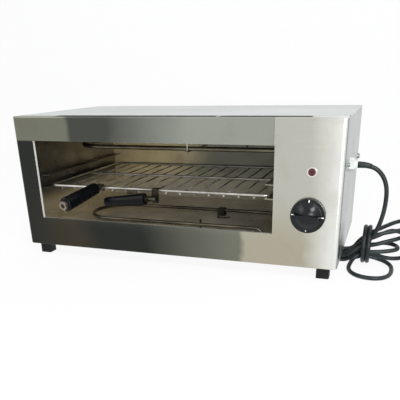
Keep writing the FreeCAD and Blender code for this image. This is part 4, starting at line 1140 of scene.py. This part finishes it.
# ---- the finishes
@dataclass
class Dressing:
    """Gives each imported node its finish."""

    finishes: tuple[tuple[SheetSteel | PlainFinish, tuple[str, ...]], ...] = (
        (FASCIA_STEEL, ("front_fascia",)),
        (PANEL_STEEL, ("left_side_panel", "right_side_panel", "rear_cover", "base_pan")),
        (TOP_STEEL, ("top_cover",)),
        (CAVITY_STEEL, ("cavity_right_wall", "rack_runner_right", "upper_hanger")),
        (DARK_ABOVE_STEEL, ("cavity_left_wall", "rack_runner_left")),
        (ROOF_STEEL, ("cavity_roof",)),
        (REAR_STEEL, ("cavity_back_wall",)),
        (FLOOR_STEEL, ("cavity_floor",)),
        (ZINC, ("cavity_bracket_left", "cavity_bracket_right", "switch_shaft", "earth_stud", "foot_screws",
                "side_screws", "side_bolts", "rear_screws")),
        (DULL_STEEL, ("handle_bracket_left", "handle_pins", "handle_left_rod", "handle_right_rod",
                      "rack_tab")),
        (OXIDE_STEEL, ("handle_bracket_right", "handle_right_ferrule", "roof_screw", "lower_clip",
                       "lower_clip_wire", "locating_pin")),
        (CHROME, ("rack_frame", "rack_mid_rail", "plug_pins")),
        (WIRE, ("rack_cross_wires",)),
        (NUT_BRASS, ("handle_left_nut",)),
        (SHEATH, ("element_upper", "element_lower")),
        (BAKELITE, ("handle_left_grip", "handle_right_grip")),
        (MARK_PAINT, ("knob_marks",)),
        (LENS, ("pilot_lens",)),
        (BEZEL, ("pilot_bezel",)),
        (NYLON, ("pilot_body", "cable_gland", "gland_locknut")),
        (SWITCH, ("rotary_switch_body",)),
        (CERAMIC, ("element_terminals", "terminal_block")),
        (FLEX, ("internal_wires", "cord_tie", "power_plug")),
        (FOOT, ("rubber_feet",)),
    )

    def build(self, nodes: dict[str, bpy.types.Object]) -> None:
        """Assigns every finish to its nodes.

        Args:
            nodes: The frame's nodes by name.
        """
        for finish, names in self.finishes:
            material = finish.material()
            for name in names:
                materials = nodes[name].data.materials
                materials.clear()
                materials.append(material)
            LOG.info("%s: %d nodes", finish.name, len(names))


# ---- studio
@dataclass(frozen=True)
class Lamp:
    """A square soft lamp: its place, the point it faces and its side in metres, and its watts."""

    name: str
    where: Point
    aim: Point
    size: float
    watts: float

    def build(self) -> None:
        """Makes the lamp."""
        light = bpy.data.lights.new(self.name, "AREA")
        light.size = self.size
        light.energy = self.watts
        lamp = linked(self.name, light)
        lamp.location = self.where
        toward = Vector(self.aim) - Vector(self.where)
        lamp.rotation_euler = toward.to_track_quat("-Z", "Y").to_euler()


@dataclass
class Studio:
    """A plain white floor that curves up into a wall, soft lamps and an even surrounding light."""

    half_width: float = 3.0
    front: float = -2.2
    wall: float = 1.6
    wall_height: float = 2.4
    bend_radius: float = 0.6
    bend_steps: int = 12
    surround: float = 0.6
    floor_glow: float = 0.9
    lamps: tuple[Lamp, ...] = (
        Lamp("key_lamp", (1.3, -1.5, 1.6), (0.1, 0.0, 0.1), 0.75, 26.0),
        Lamp("low_lamp", (0.95, -1.6, 0.36), (-0.1, 0.15, 0.13), 0.7, 15.0),
        Lamp("fill_lamp", (-1.5, -1.2, 1.3), (0.0, 0.0, 0.1), 1.2, 9.0),
        Lamp("top_lamp", (0.0, 0.3, 2.0), (0.0, 0.0, 0.0), 3.0, 4.0),
    )

    def floor(self) -> bpy.types.Object:
        """Makes the floor and wall as one bent sheet.

        Returns:
            The backdrop.
        """
        shape = bmesh.new()
        profile = [(self.front, 0.0), (self.wall - self.bend_radius, 0.0)]
        for step in range(1, self.bend_steps + 1):
            turn = math.radians(90 * step / self.bend_steps)
            profile.append((self.wall - self.bend_radius * (1 - math.sin(turn)),
                            self.bend_radius * (1 - math.cos(turn))))
        profile.append((self.wall, self.wall_height))
        rows = [[shape.verts.new((x, y, z)) for x in (-self.half_width, self.half_width)]
                for y, z in profile]
        for (a, b), (c, d) in zip(rows, rows[1:]):
            shape.faces.new((a, b, d, c))
        piece = mesh_piece("studio_floor", shape, self.floor_material())
        return piece

    def floor_material(self) -> bpy.types.Material:
        """Builds the floor's matt white paint, which shows as white where the camera sees it.

        Returns:
            The material.
        """
        material, tree = new_material("paint_matt_white")
        matt = add(tree, "ShaderNodeBsdfDiffuse", {}, {"Color": linear("#f4f5f5")})
        glow = add(tree, "ShaderNodeEmission", {}, {"Color": linear("#ffffff"), "Strength": 1.0})
        seen = self.seen_directly(tree)
        shader = add(tree, "ShaderNodeMixShader", {}, {
            "Fac": combined(tree, seen, self.floor_glow),
            1: matt.outputs["BSDF"], 2: glow.outputs["Emission"]})
        close(tree, shader.outputs["Shader"])
        return material

    def seen_directly(self, tree: Tree) -> Socket:
        """Adds a value of 1 for rays from the camera, a reflection or a clear part.

        Args:
            tree: The node tree.

        Returns:
            The value's socket.
        """
        path = add(tree, "ShaderNodeLightPath")
        first = combined(tree, path.outputs["Is Camera Ray"], path.outputs["Is Glossy Ray"], "MAXIMUM")
        return combined(tree, first, path.outputs["Is Transmission Ray"], "MAXIMUM")

    def surroundings(self) -> None:
        """Sets the world: white where it is seen, an even grey light elsewhere."""
        world = bpy.data.worlds.new("studio_world")
        world.use_nodes = True
        tree = world.node_tree
        tree.nodes.clear()
        seen = self.seen_directly(tree)
        light = add(tree, "ShaderNodeBackground", {}, {"Color": linear("#f2f4f6"), "Strength": self.surround})
        white = add(tree, "ShaderNodeBackground", {}, {"Color": linear("#ffffff"), "Strength": 1.0})
        shader = add(tree, "ShaderNodeMixShader", {}, {
            "Fac": seen, 1: light.outputs["Background"], 2: white.outputs["Background"]})
        add(tree, "ShaderNodeOutputWorld", {}, {"Surface": shader.outputs["Shader"]})
        bpy.context.scene.world = world

    def build(self) -> None:
        """Sets up the floor, the world and the lamps."""
        self.floor()
        self.surroundings()
        for lamp in self.lamps:
            lamp.build()
        bpy.context.scene.view_settings.view_transform = "Standard"


def main() -> None:
    """Builds the dressed cheese melter in order. The cord, the knob and each finish log themselves."""
    logging.basicConfig(level=logging.INFO, format="%(name)s: %(message)s")
    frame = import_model()
    nodes = frame["nodes"]
    ViewCamera().build()
    SupplyCord().build(nodes)
    Knob().build()
    Dressing().build(nodes)
    Studio().build()


if __name__ == "__main__":
    main()
